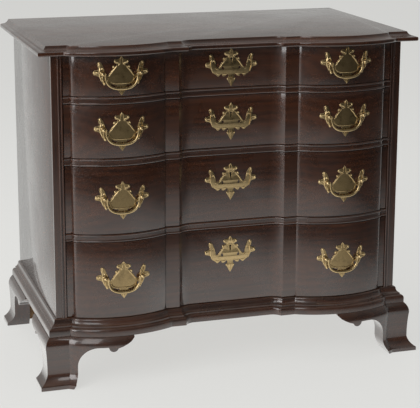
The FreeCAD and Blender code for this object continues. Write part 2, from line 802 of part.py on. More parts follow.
def pull_plate(side, number):
    """Plate of a pull, bent to the round of its block and pierced for the posts."""
    centre_x = side * BLOCK_CENTRE
    front = PIVOT_Y
    slab = prism(brass_outline(PULL_TAIL, centre_x, pull_height(number), front), (0, -front, 0))
    strip = bent_strip(centre_x, opening_bottom(number), OPENING_HEIGHTS[number - 1])
    return slab.common(strip).cut(post_holes(number)).Solids[0]


def escutcheon(number):
    """Flat plate around the keyhole, on the recess."""
    outline = brass_outline(ESCUTCHEON_TAIL, 0.0, escutcheon_height(number), RECESS_DEPTH)
    return prism(outline, (0, -PLATE_THICKNESS, 0)).cut(keyhole(number))


def post_ring(x, z, y, across, lean=0.0):
    """Section of a post, given across its flats; lean tilts it about the upright axis."""
    corner_radius = across / 2 / math.cos(math.pi / POST_SIDES)
    sideways = FreeCAD.Vector(1, lean, 0)
    return ring(FreeCAD.Vector(x, y, z), sideways, FreeCAD.Vector(0, 0, 1), corner_radius, POST_SIDES)


def pull_post(x, z, inward):
    """Cast post: a neck seated on the bent plate, a head bored for the bail, a square shank."""
    from_middle = x - math.copysign(BLOCK_CENTRE, x)
    to_axis = math.sqrt(PLATE_RADIUS**2 - from_middle**2)
    seat_y = BLOCK_AXIS_Y - to_axis
    head_back = PIVOT_Y + POST_HEAD_HALF_LENGTH
    head_front = PIVOT_Y - POST_HEAD_HALF_LENGTH
    rings = [
        post_ring(x, z, seat_y, POST_NECK, from_middle / to_axis),
        post_ring(x, z, head_back, POST_HEAD),
        post_ring(x, z, head_front, POST_HEAD),
        post_ring(x, z, head_front - POST_CROWN, POST_TIP),
    ]
    half = POST_SHANK / 2
    shank_end = DRAWER_FRONT_BACK + POST_NUT_THICKNESS + POST_SHANK_END
    shank = box(x - half, x + half, head_back, shank_end, z - half, z + half)
    eye_open = FreeCAD.Vector(x + inward * POST_HEAD / 2, PIVOT_Y, z)
    eye_end = eye_open - FreeCAD.Vector(inward * (BAIL_PIN_DEPTH + BAIL_PIN_END_GAP), 0, 0)
    eye_radius = BAIL_PIN_RADIUS + BAIL_PIN_CLEARANCE
    eye = faceted([pin_ring(eye_open, eye_radius), pin_ring(eye_end, eye_radius)])
    return joined(faceted(rings), shank).cut(eye)


def pin_ring(centre, flat_radius):
    """Section square to the axis of a bail's pin, given from its middle to a flat."""
    corner_radius = flat_radius / math.cos(math.pi / BAIL_SIDES)
    return ring(centre, FreeCAD.Vector(0, 1, 0), FreeCAD.Vector(0, 0, 1), corner_radius, BAIL_SIDES)


def post_nut(x, z):
    """Square nut behind the drawer front."""
    outer = POST_NUT / 2
    inner = POST_SHANK / 2 + POST_SHANK_CLEARANCE
    y0 = DRAWER_FRONT_BACK
    y1 = y0 + POST_NUT_THICKNESS
    nut = box(x - outer, x + outer, y0, y1, z - outer, z + outer)
    return nut.cut(box(x - inner, x + inner, y0, y1, z - inner, z + inner))


def drawer_posts(number):
    """Posts and nuts of the two pulls of a drawer."""
    z = pull_height(number)
    solids = []
    for x in post_places():
        towards_pull = math.copysign(BLOCK_CENTRE, x) - x
        solids.append(pull_post(x, z, math.copysign(1, towards_pull)))
        solids.append(post_nut(x, z))
    return solids


def bail_line():
    """Line of a bail from one end to the other: distance from the middle, and drop."""
    half_span = POST_FROM_CENTRE - POST_HEAD / 2 - BAIL_POST_GAP
    rounding = 2 / BAIL_SQUARENESS
    line = []
    for step in range(BAIL_STEPS + 1):
        angle = math.pi * step / BAIL_STEPS
        share = abs(math.cos(angle)) ** rounding
        across = math.copysign(half_span * share, math.cos(angle))
        line.append((across, BAIL_DROP * math.sin(angle) ** rounding))
    return line


def bail(side, number):
    """Hanging bail: thick in the middle, with a pin at each end turned out into a post."""
    middle = FreeCAD.Vector(side * BLOCK_CENTRE, PIVOT_Y, pull_height(number))
    pin_radius = BAIL_PIN_RADIUS * math.cos(math.pi / BAIL_SIDES)
    to_post = POST_FROM_CENTRE - POST_HEAD / 2
    line = bail_line()
    rings = []
    for index, (across, drop) in enumerate(line):
        before = line[max(index - 1, 0)]
        after = line[min(index + 1, BAIL_STEPS)]
        along = FreeCAD.Vector(after[0] - before[0], 0, before[1] - after[1])
        if index in (0, BAIL_STEPS):
            along = FreeCAD.Vector(-1, 0, 0)
        cross = along.normalize().cross(FreeCAD.Vector(0, -1, 0))
        radius = BAIL_END_RADIUS + (BAIL_MIDDLE_RADIUS - BAIL_END_RADIUS) * drop / BAIL_DROP
        centre = middle + FreeCAD.Vector(across, 0, -drop)
        rings.append(ring(centre, FreeCAD.Vector(0, 1, 0), cross, radius, BAIL_SIDES))
    pin_tip = FreeCAD.Vector(to_post + BAIL_PIN_DEPTH, 0, 0)
    pin_root = FreeCAD.Vector(to_post - BAIL_POST_GAP, 0, 0)
    start = [pin_ring(middle + pin_tip, pin_radius), pin_ring(middle + pin_root, pin_radius)]
    end = [pin_ring(middle - pin_root, pin_radius), pin_ring(middle - pin_tip, pin_radius)]
    return faceted(start + rings + end)


# ---------------------------------------------------------------- locks
def bolt_space(top, top_gap, clearance):
    """Space of a lock's bolt drawn back below the top edge, grown by a clearance."""
    half_width = BOLT_WIDTH / 2 + clearance
    bolt_front, bolt_back = bolt_faces()
    y0 = bolt_front - clearance
    y1 = bolt_back + clearance
    z0 = top - BOLT_SET_DOWN - BOLT_LENGTH
    return box(-half_width, half_width, y0, y1, z0, top - top_gap)


def lock_case(number):
    """Case of a half mortise lock, open at the top for its bolt."""
    top = drawer_heights(number)[1]
    return drawer_lock_box(top).cut(bolt_space(top, 0.0, BOLT_CLEARANCE))


def lock_bolt(number):
    """Bolt of a lock, drawn back."""
    return bolt_space(drawer_heights(number)[1], BOLT_SET_DOWN, 0.0)


# ---------------------------------------------------------------- all pieces
def case_nodes():
    """The case: boards, blades, stiles, runners, base moulding and feet."""
    right_foot = rear_foot()
    nodes = {
        "top_board": [top_board()],
        "side_right": [case_side()],
        "side_left": [mirrored(case_side())],
        "stile_right": [stile()],
        "stile_left": [mirrored(stile())],
        "bottom_board": [bottom_board()],
        "back_boards": back_boards(),
        "drawer_runners": drawer_runners(),
        "base_moulding_front": [base_moulding_front()],
        "base_moulding_sides": both_sides(base_moulding_side()),
        "front_foot_right_face": [front_foot_face()],
        "front_foot_left_face": [mirrored(front_foot_face())],
        "front_foot_right_side": [front_foot_side()],
        "front_foot_left_side": [mirrored(front_foot_side())],
        "rear_foot_right": right_foot,
        "rear_foot_left": [mirrored(solid) for solid in right_foot],
        "foot_blocks": foot_blocks(),
    }
    for number in range(1, BLADE_COUNT + 1):
        nodes[f"drawer_blade_{number}"] = [blade(number)]
    return nodes


def drawer_nodes(number):
    """One drawer with its brasses and lock."""
    name = f"drawer_{number}_"
    return {
        name + "front": [drawer_front(number)],
        name + "sides": drawer_sides(number),
        name + "back": [drawer_back(number)],
        name + "bottom": [drawer_bottom(number)],
        name + "plates": [pull_plate(-1, number), pull_plate(1, number), escutcheon(number)],
        name + "posts": drawer_posts(number),
        name + "bail_left": [bail(-1, number)],
        name + "bail_right": [bail(1, number)],
        name + "lock_case": [lock_case(number)],
        name + "lock_bolt": [lock_bolt(number)],
    }


def main():
    """Centre the chest on the origin and write every node."""
    os.makedirs("parts", exist_ok=True)
    nodes = case_nodes()
    for number in range(1, len(OPENING_HEIGHTS) + 1):
        nodes.update(drawer_nodes(number))
    chest = Part.makeCompound([solid for solids in nodes.values() for solid in solids])
    bounds = chest.optimalBoundingBox(False, False)
    to_origin = FreeCAD.Vector(0, -(bounds.YMin + bounds.YMax) / 2, 0)
    for name, solids in nodes.items():
        shape = solids[0] if len(solids) == 1 else Part.makeCompound(solids)
        shape.translate(to_origin)
        shape.exportStep(os.path.join("parts", name + ".step"))


main()
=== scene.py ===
import math

import bmesh
import bpy
from mathutils import Euler, Matrix, Vector


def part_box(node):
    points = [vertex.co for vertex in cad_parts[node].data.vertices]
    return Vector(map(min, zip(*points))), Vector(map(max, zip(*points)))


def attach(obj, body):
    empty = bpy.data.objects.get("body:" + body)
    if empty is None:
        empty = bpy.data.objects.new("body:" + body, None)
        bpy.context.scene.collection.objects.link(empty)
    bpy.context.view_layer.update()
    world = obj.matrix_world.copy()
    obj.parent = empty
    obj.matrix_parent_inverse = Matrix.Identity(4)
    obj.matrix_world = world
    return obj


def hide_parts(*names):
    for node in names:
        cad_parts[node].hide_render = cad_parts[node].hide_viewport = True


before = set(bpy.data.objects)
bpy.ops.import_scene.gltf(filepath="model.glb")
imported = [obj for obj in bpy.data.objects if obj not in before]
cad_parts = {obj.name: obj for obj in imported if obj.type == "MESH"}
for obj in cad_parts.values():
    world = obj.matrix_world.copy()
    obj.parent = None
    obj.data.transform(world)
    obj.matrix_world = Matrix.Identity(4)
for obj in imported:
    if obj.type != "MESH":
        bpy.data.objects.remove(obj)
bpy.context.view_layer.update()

bl_info = {
    "name": "Block Front Chest",
    "version": (1, 0, 0),
    "blender": (4, 5, 0),
    "location": "View3D > Sidebar > Chest",
    "description": "Dresses a blocked four drawer chest in its wood, brasses and locks",
    "category": "Object",
}

# Lengths are drawn in millimetres with Y = 0 at the faces of the stiles, X along the
# front and Z up from the floor. Each piece is scaled to metres and moved onto the
# frame when it is finished.
MM = 0.001
STILE_THICKNESS = 8.0
FACE_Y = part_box("side_right")[0].y / MM - STILE_THICKNESS

HALF_CASE = 419.0
OPENING_HALF = 393.5
CASE_DEPTH = 476.0
FOOT_HEIGHT = 118.0
BASE_TOP = 156.0
TOP_UNDERSIDE = 763.0
TOP_SIDE_EXTRA = 5.0
TOP_BACK = 479.0
BLADE_THICKNESS = 17.5
BLADE_DEPTH = 75.0
HOUSING_END = 403.5
BASE_FRONT_DEPTH = 30.0
BRACKET_THICKNESS = 10.0
BACK_BRACKET_THICKNESS = 18.0
# Underside and top of the opening of each drawer, from the top one down.
OPENINGS = {
    1: (669.5, TOP_UNDERSIDE), 2: (529.5, 652.0), 3: (354.0, 512.0), 4: (BASE_TOP, 336.5)}

# The blocked front line of one half: shoulder, block, shoulder, strip, cove and recess.
BLOCK_CENTRE = 268.0
SHOULDER_CENTRES = (364.0, 172.0)
SHOULDER_RADIUS = 14.0
BLOCK_RADIUS = 234.4545
BLOCK_RISE = 36.0
BLOCK_AXIS_Y = BLOCK_RADIUS - BLOCK_RISE
SHOULDER_ANGLE = math.asin(
    (SHOULDER_CENTRES[0] - BLOCK_CENTRE) / (BLOCK_RADIUS - SHOULDER_RADIUS))
STRIP_RISE = 8.0
COVE_START = 94.9118
COVE_RADIUS = 45.0
RECESS_DEPTH = 6.5

DRAWER_GAP = 1.2
FRONT_BACK = 28.0
DRAWER_END = 463.7
SIDE_FACE = 392.5
SIDE_THICKNESS = 11.0
SIDE_LAP = 13.0
DRAWER_BOTTOM = (9.0, 16.0)
GROOVE_DEPTH = 5.0
RIM_DROP = 4.0
# Half width, front and depth of the bed of a lock. Left, right, front and back of the
# mortise above it, and how deep that is.
LOCK_BED = (31.0, 18.0, 56.0)
BOLT_MORTISE = (-9.5, 9.5, 18.5, 27.5)
BOLT_MORTISE_DEPTH = 9.5
# Places of the fixings: screws of a lock from the middle and down from the drawer's top,
# the key's pin over the line of the escutcheon, and the nails.
SCREW_PLACES = (-25, 25)
SCREW_DROPS = (8, 48)
PIN_RISE = 14.3
BACK_NAIL_HEIGHTS = (140, 220, 305, 355, 440, 520, 572, 655, 738)
BOTTOM_NAIL_PLACES = (-300, -150, 0, 150, 300)
PULL_HEIGHTS = {1: 721.75, 2: 596.25, 3: 438.5, 4: 251.75}
ESCUTCHEON_HEIGHTS = {1: 721.75, 2: 596.25, 3: 453.3, 4: 277.8}
KEYHOLE_RISE = 10.5
PIVOT_Y = -41.2
POST_REACH = 43.0
BAIL_DROP = 34.5

# Profiles are read from the bottom up: how far each corner stands out, its height and
# the bulge of the run that follows (0 straight, above 0 round, below 0 hollow).
TOP_PROFILE = (
    (24.5, 0.0, 0.35),
    (27.0, 3.5, 0.0),
    (27.0, 7.0, 0.35),
    (24.8, 9.6, 0.0),
    (22.0, 10.5, -0.33),
    (6.7, 20.6, 0.3),
    (6.3, 21.0, 0.0),
)
BASE_PROFILE = (
    (20.4, FOOT_HEIGHT, 0.0),
    (21.0, 118.6, 0.0),
    (21.0, 131.0, 0.36),
    (13.6, 137.5, 0.0),
    (13.2, 141.0, -0.3),
    (5.8, 150.0, 0.0),
    (5.6, 151.0, 0.36),
    (2.0, BASE_TOP, 0.0),
)
FOOT_PROFILE = (
    (45.9, 0.0, 0.0),
    (46.5, 0.6, 0.0),
    (46.5, 8.6, 0.3),
    (46.0, 9.2, -0.23),
    (28.5, 33.0, 0.0),
    (28.5, 50.0, -0.02),
    (31.0, 90.0, 0.27),
    (22.0, FOOT_HEIGHT, 0.0),
)
BLADE_PROFILE = ((0.0, 0.0, 0.98), (0.0, 5.0, 0.0), (0.0, 12.5, 0.98), (0.0, 17.5, 0.0))

# Half outlines of the brasses: distance from the middle line and height over the line
# of the posts, from the crest down to the pendant.
CREST = (
    (0, 38.5), (3.2, 34.4), (6.6, 31.8), (10.6, 31.2), (15, 30), (17, 26.4), (14.6, 22.8),
    (10.6, 20.8), (11, 18), (14.8, 18), (18.6, 17), (20.4, 13.4), (19, 9.8),
)
ARM = (
    (22.4, 6.6), (25.4, 1.6), (29, -3), (32.6, -5.8), (35.4, -3.2), (36.4, 2.4), (38, 8.6),
    (41, 16.4), (44.5, 23), (49, 26), (53, 22), (52, 15.5), (50.6, 10.4), (55, 7.6), (60, 6.6),
    (62.6, 2), (61, -3), (56, -4.4), (51.6, -5.6), (48, -10), (44.4, -16),
)
PULL_TAIL = (
    (41.8, -22), (38.4, -26), (34.6, -23), (30, -24.6), (24, -29.6), (16.5, -33.5),
    (10, -36), (6, -42), (0, -49.5),
)
ESCUTCHEON_TAIL = (
    (37, -21.5), (31.5, -25.6), (27, -23), (23.4, -20.4), (20, -25.4), (14.5, -25), (8.6, -21),
    (7.6, -28), (10.5, -31.4), (8.4, -35.4), (6.5, -38.5), (3.6, -44), (0, -49.5),
)
SIDE_PIERCING = (
    (30.8, -13), (34.4, -13.4), (37, -16.4), (36, -19.8), (32.4, -19.8), (31, -16.6))
LOWER_PIERCING = (
    (10.6, -26.8), (16.4, -26), (22.4, -23.8), (24.4, -25.6), (19.8, -28.8), (14, -31))
TEAR_PIERCING = (
    (0, -28.6), (2.1, -32.4), (1.5, -35.4), (0, -36.4), (-1.5, -35.4), (-2.1, -32.4))
LOBE_PIERCING = ((17.4, -6), (20.4, -3), (22.6, -5.6), (21, -9.6), (18, -10.4))
# Round top and narrow slot of a keyhole, centred on its height, and its square corners.
KEYHOLE = (
    (-1.5, 2.2), (-2.7, 4.2), (-1.9, 6.0), (0, 6.6), (1.9, 6.0), (2.7, 4.2), (1.5, 2.2),
    (1.5, -6.5), (-1.5, -6.5))
KEYHOLE_CORNERS = (0, 6, 7, 8)

# Colours that lie in, on or under the chosen ones.
PORE_COLOUR = (0.012, 0.006, 0.004, 1.0)
DUST_COLOUR = (0.20, 0.16, 0.12, 1.0)
BRASS_STAIN = (0.062, 0.043, 0.022)
IRON_RUBBED = (0.34, 0.32, 0.30)
RUST = (0.16, 0.07, 0.035)
BUMP_DEPTH = 0.0004

# Name, place, target, width and height, power and whether polished pieces mirror it.
LAMPS = (
    ("window", (-4.3, -2.3, 2.2), (-0.2, 0.0, 0.45), (3.2, 3.2), 140, True),
    ("side", (-4.3, -2.3, 2.9), (-0.2, 0.0, 0.45), (3.2, 3.2), 110, False),
    ("overhead", (0.0, 0.5, 3.4), (0.0, 0.0, 0.4), (3.0, 3.0), 72, False),
    ("front", (-1.9, -3.6, 3.0), (0.0, 0.0, 0.4), (1.4, 3.4), 40, True),
)
# Where the camera stands, how it is turned, its focal length in pixels, its shift, the
# width of its image in pixels and the width of its sensor in millimetres.
CAMERA_PLACE = (-1.0006, -3.2401, 1.2323)
CAMERA_YAW = 0.3030
CAMERA_PITCH = 0.2327
CAMERA_ROLL = 0.0028
CAMERA_FOCAL = 1416.0
CAMERA_SHIFT = -0.08
IMAGE_WIDTH = 420
SENSOR_WIDTH = 36.0


# ---------------- sizes and colours
class ChestSizes(bpy.types.PropertyGroup):
    """Sizes of the small forms that dress the frame."""

    eased_edge: bpy.props.FloatProperty(
        name="Eased edge", description="Width of the rounding on plain boards",
        default=0.0006, min=0.0001, max=0.002, unit="LENGTH")
    plate_thickness: bpy.props.FloatProperty(
        name="Plate thickness", description="Thickness of the pull plates and escutcheons",
        default=0.0016, min=0.001, max=0.002, unit="LENGTH")
    bail_end_radius: bpy.props.FloatProperty(
        name="Bail end radius", description="Half the thickness of a bail beside its posts",
        default=0.0022, min=0.0015, max=0.003, unit="LENGTH")
    bail_middle_radius: bpy.props.FloatProperty(
        name="Bail middle radius",
        description="Half the thickness of a bail where the hand takes it",
        default=0.0032, min=0.002, max=0.0032, unit="LENGTH")
    tails: bpy.props.IntProperty(
        name="Most dovetails",
        description="Dovetails at each end of the side of the deepest drawer",
        default=5, min=2, max=7)


class ChestColours(bpy.types.PropertyGroup):
    """Colours of the woods and metals."""

    mahogany_light: bpy.props.FloatVectorProperty(
        name="Mahogany light", description="Lighter figure of the polished wood",
        default=(0.047, 0.0134, 0.0040), subtype="COLOR", min=0, max=1)
    mahogany_dark: bpy.props.FloatVectorProperty(
        name="Mahogany dark", description="Darker figure of the polished wood",
        default=(0.0122, 0.0037, 0.0017), subtype="COLOR", min=0, max=1)
    pine_light: bpy.props.FloatVectorProperty(
        name="Pine light", description="Early wood of the inner boards",
        default=(0.42, 0.26, 0.125), subtype="COLOR", min=0, max=1)
    pine_dark: bpy.props.FloatVectorProperty(
        name="Pine dark", description="Late wood of the inner boards",
        default=(0.24, 0.125, 0.052), subtype="COLOR", min=0, max=1)
    brass_bright: bpy.props.FloatVectorProperty(
        name="Brass bright", description="Rubbed edges of the brasses",
        default=(0.74, 0.56, 0.30), subtype="COLOR", min=0, max=1)
    brass_dull: bpy.props.FloatVectorProperty(
        name="Brass dull", description="Old brass away from the edges",
        default=(0.29, 0.208, 0.10), subtype="COLOR", min=0, max=1)
    iron: bpy.props.FloatVectorProperty(
        name="Iron", description="Iron of the locks, nuts and nails",
        default=(0.16, 0.145, 0.13), subtype="COLOR", min=0, max=1)
    floor: bpy.props.FloatVectorProperty(
        name="Floor", description="Floor and backdrop",
        default=(0.74, 0.74, 0.72), subtype="COLOR", min=0, max=1)


# ---------------- drawing
class Pen:
    """Draws a run of edges in a bmesh from a starting place."""

    def __init__(self, bm, place):
        self.bm = bm
        self.first = bmesh.ops.create_vert(bm, co=place)["vert"][0]
        self.tip = self.first
        self.edges = []

    def line(self, place):
        """Draws a straight edge."""
        made = bmesh.ops.extrude_vert_indiv(self.bm, verts=[self.tip])
        self.edges += made["edges"]
        self.tip = made["verts"][0]
        self.tip.co = place

    def arc(self, centre_x, centre_y, angle, steps):
        """Draws an arc about an upright axis."""
        known = set(self.bm.edges)
        made = bmesh.ops.spin(
            self.bm, geom=[self.tip], cent=(centre_x, centre_y, 0), axis=(0, 0, 1),
            angle=angle, steps=steps, use_merge=False, use_duplicate=False)
        self.edges += [edge for edge in self.bm.edges if edge not in known]
        self.tip = next(item for item in made["geom_last"] if isinstance(item, bmesh.types.BMVert))

    def close(self):
        """Draws the edge back to the start."""
        made = bmesh.ops.contextual_create(self.bm, geom=[self.tip, self.first])
        self.edges += made["edges"]


def rounded(profile, steps=5):
    """Corners of a profile with its bulging runs divided into short steps."""
    points = []
    for (out, height, bulge), (next_out, next_height, _) in zip(profile, profile[1:]):
        start, end = complex(out, height), complex(next_out, next_height)
        points.append(start)
        if bulge:
            centre = (start + end) / 2 + 1j * (end - start) / 2 * (1 - bulge**2) / (2 * bulge)
            for step in range(1, steps):
                turn = 4 * math.atan(bulge) * step / steps
                points.append(centre + (start - centre) * complex(math.cos(turn), math.sin(turn)))
    points.append(complex(*profile[-1][:2]))
    return [(point.real, point.imag) for point in points]


def draw_block(pen, side, offset, z):
    """Draws one block from left to right: shoulder, large arc and shoulder."""
    shoulder = SHOULDER_RADIUS + offset
    outer_angle = math.acos(offset / shoulder)
    strip_angle = math.acos((STRIP_RISE + offset) / shoulder)
    outer, inner = (side * centre for centre in SHOULDER_CENTRES)
    first, second = (outer, inner) if side < 0 else (inner, outer)
    start_angle = outer_angle if side < 0 else strip_angle
    end_angle = strip_angle if side < 0 else outer_angle
    start = (first - shoulder * math.sin(start_angle), -shoulder * math.cos(start_angle), z)
    pen.line(start)
    pen.arc(first, 0, start_angle - SHOULDER_ANGLE, 5)
    pen.arc(side * BLOCK_CENTRE, BLOCK_AXIS_Y, 2 * SHOULDER_ANGLE, 28)
    pen.arc(second, 0, end_angle - SHOULDER_ANGLE, 5)


def draw_front(pen, offset, z, end_x):
    """Draws the whole blocked front line, set forward by an offset, from left to right."""
    cove = COVE_RADIUS - offset
    cove_y = RECESS_DEPTH - COVE_RADIUS
    cove_angle = math.acos((-STRIP_RISE - offset - cove_y) / cove)
    draw_block(pen, -1, offset, z)
    pen.line((-COVE_START - cove * math.sin(cove_angle), -STRIP_RISE - offset, z))
    pen.arc(-COVE_START, cove_y, -cove_angle, 8)
    pen.line((COVE_START, RECESS_DEPTH - offset, z))
    pen.arc(COVE_START, cove_y, -cove_angle, 8)
    draw_block(pen, 1, offset, z)
    pen.line((end_x, -offset, z))


def draw_board(bm, offset, z, end_x, back):
    """Draws the outline of a board with the blocked front. back lists its corners behind."""
    pen = Pen(bm, (-end_x, -offset, z))
    draw_front(pen, offset, z, end_x)
    for x, y in back:
        pen.line((x, y, z))
    pen.close()
    return pen.edges


def draw_outline(bm, corners):
    """Draws a closed outline through corners."""
    pen = Pen(bm, corners[0])
    for corner in corners[1:]:
        pen.line(corner)
    pen.close()
    return pen.edges


def skinned(bm, sections):
    """Joins outlines one above the other and closes both ends."""
    for lower, upper in zip(sections, sections[1:]):
        bmesh.ops.bridge_loops(bm, edges=lower + upper)
    for end in (sections[0], sections[-1]):
        bmesh.ops.contextual_create(bm, geom=end)
    bmesh.ops.recalc_face_normals(bm, faces=bm.faces)


def pushed(bm, edges, direction):
    """Fills an outline and pushes it along a direction into a solid."""
    face = bmesh.ops.contextual_create(bm, geom=edges)["faces"]
    made = bmesh.ops.extrude_face_region(bm, geom=face, use_keep_orig=True)["geom"]
    moved = [item for item in made if isinstance(item, bmesh.types.BMVert)]
    bmesh.ops.translate(bm, verts=moved, vec=direction)
    bmesh.ops.recalc_face_normals(bm, faces=bm.faces)


def add_box(bm, x0, x1, y0, y1, z0, z1):
    """Adds a box between two corners."""
    middle = Matrix.Translation(((x0 + x1) / 2, (y0 + y1) / 2, (z0 + z1) / 2))
    size = Matrix.Diagonal((x1 - x0, y1 - y0, z1 - z0, 1))
    return bmesh.ops.create_cube(bm, size=1, matrix=middle @ size)["verts"]


def add_turning(bm, profile, place, turn, steps=20):
    """Turns a profile of distances from the axis and lengths along it.

    The axis is Z through a place, leaned over by the rotation.
    """
    before = set(bm.verts)
    known = set(bm.edges)
    pen = Pen(bm, (profile[0][0], 0, profile[0][1]))
    for out, along in profile[1:]:
        pen.line((out, 0, along))
    drawn = [v for v in bm.verts if v not in before] + [e for e in bm.edges if e not in known]
    bmesh.ops.spin(
        bm, geom=drawn, cent=(0, 0, 0), axis=(0, 0, 1), angle=math.tau, steps=steps,
        use_merge=True, use_duplicate=False)
    turned = [v for v in bm.verts if v not in before]
    bmesh.ops.remove_doubles(bm, verts=turned, dist=0.001)
    turned = [v for v in bm.verts if v not in before]
    leaned = Matrix.Translation(place) @ turn.to_matrix().to_4x4()
    bmesh.ops.transform(bm, matrix=leaned, verts=turned)


def add_dome(bm, x, depth, z, radius, rise):
    """Adds a flattened dome that stands forward from a plate."""
    squash = Matrix.Diagonal((radius, rise, radius, 1))
    matrix = Matrix.Translation((x, -depth, z)) @ squash
    bmesh.ops.create_uvsphere(bm, u_segments=12, v_segments=8, radius=1, matrix=matrix)


def add_curve(bm, curve):
    """Adds a curve's mesh to a bmesh and removes the curve."""
    holder = bpy.data.objects.new("curve", curve)
    mesh = bpy.data.meshes.new_from_object(holder)
    bm.from_mesh(mesh)
    bpy.data.objects.remove(holder)
    bpy.data.curves.remove(curve)
    bpy.data.meshes.remove(mesh)


def add_rod(bm, points, radii, sides, smooth):
    """Adds a round rod through points, with its own half thickness at each of them."""
    curve = bpy.data.curves.new("rod", "CURVE")
    curve.dimensions = "3D"
    curve.bevel_depth = 1
    curve.bevel_resolution = sides
    curve.use_fill_caps = True
    spline = curve.splines.new("NURBS")
    spline.points.add(len(points) - 1)
    for point, place, radius in zip(spline.points, points, radii):
        point.co = (*place, 1)
        point.radius = radius
    spline.order_u = 3
    spline.use_endpoint_u = True
    spline.resolution_u = smooth
    add_curve(bm, curve)


# ---------------- working and finishing
def held(bm):
    """Object that holds a bmesh while it is worked."""
    mesh = bpy.data.meshes.new("held")
    bm.to_mesh(mesh)
    bm.free()
    holder = bpy.data.objects.new("held", mesh)
    bpy.context.scene.collection.objects.link(holder)
    return holder


def sawn(blank, tool, operation="DIFFERENCE"):
    """Cuts a tool's shape out of a blank, or keeps only what both share."""
    work, cutter = held(blank), held(tool)
    saw = work.modifiers.new("Saw", "BOOLEAN")
    saw.operation = operation
    saw.solver = "EXACT"
    saw.object = cutter
    bpy.context.view_layer.update()
    depsgraph = bpy.context.evaluated_depsgraph_get()
    mesh = bpy.data.meshes.new_from_object(work.evaluated_get(depsgraph))
    result = bmesh.new()
    result.from_mesh(mesh)
    # The object that holds a mesh goes with it.
    for spent in (mesh, work.data, cutter.data):
        bpy.data.meshes.remove(spent)
    if not result.faces:
        raise RuntimeError("A cut left nothing of its blank")
    return result


def doubled(bm):
    """Adds the mirror image on the other side of the chest."""
    copy = bmesh.ops.duplicate(bm, geom=bm.verts[:] + bm.edges[:] + bm.faces[:])["geom"]
    verts = [item for item in copy if isinstance(item, bmesh.types.BMVert)]
    bmesh.ops.scale(bm, verts=verts, vec=(-1, 1, 1))
    faces = [item for item in copy if isinstance(item, bmesh.types.BMFace)]
    bmesh.ops.reverse_faces(bm, faces=faces)


def bevelled(bm, edges, width, segments, clamped=False):
    """Rounds edges in a few steps."""
    bmesh.ops.bevel(
        bm, geom=edges, offset=width, offset_type="OFFSET", affect="EDGES", segments=segments,
        profile=0.5, material=-1, clamp_overlap=clamped)


def ease(bm, width):
    """Rounds the sharp edges."""
    least = math.radians(30)
    sharp = [edge for edge in bm.edges if edge.is_manifold and edge.calc_face_angle(0) > least]
    bevelled(bm, sharp, width, 2, clamped=True)


def finish_piece(bm, name, body, finish, stands_for=(), crease=32, placed=False):
    """Makes a bmesh an object on the frame, with its material and its body.

    crease is the least angle, in degrees, that stays a sharp edge. A placed bmesh is in
    metres on the frame already.
    """
    bmesh.ops.remove_doubles(bm, verts=bm.verts, dist=1e-7 if placed else 0.0002)
    if not placed:
        bmesh.ops.recalc_face_normals(bm, faces=bm.faces)
        bmesh.ops.translate(bm, verts=bm.verts, vec=(0, FACE_Y, 0))
        bmesh.ops.scale(bm, verts=bm.verts, vec=(MM, MM, MM))
    mesh = bpy.data.meshes.new(name)
    bm.to_mesh(mesh)
    bm.free()
    mesh.materials.append(finish)
    mesh.shade_smooth()
    mesh.set_sharp_from_angle(angle=math.radians(crease))
    piece = bpy.data.objects.new(name, mesh)
    bpy.context.scene.collection.objects.link(piece)
    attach(piece, body)
    if stands_for:
        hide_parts(*stands_for)


def eased_node(node, name, body, finish, width=None):
    """Makes a plain board of the frame again with its edges rounded."""
    bm = bmesh.new()
    bm.from_mesh(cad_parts[node].data)
    bmesh.ops.remove_doubles(bm, verts=bm.verts, dist=1e-6)
    bmesh.ops.dissolve_limit(bm, angle_limit=math.radians(1), verts=bm.verts, edges=bm.edges)
    ease(bm, width or bpy.context.scene.chest_sizes.eased_edge)
    finish_piece(bm, name, body, finish, (node,), placed=True)


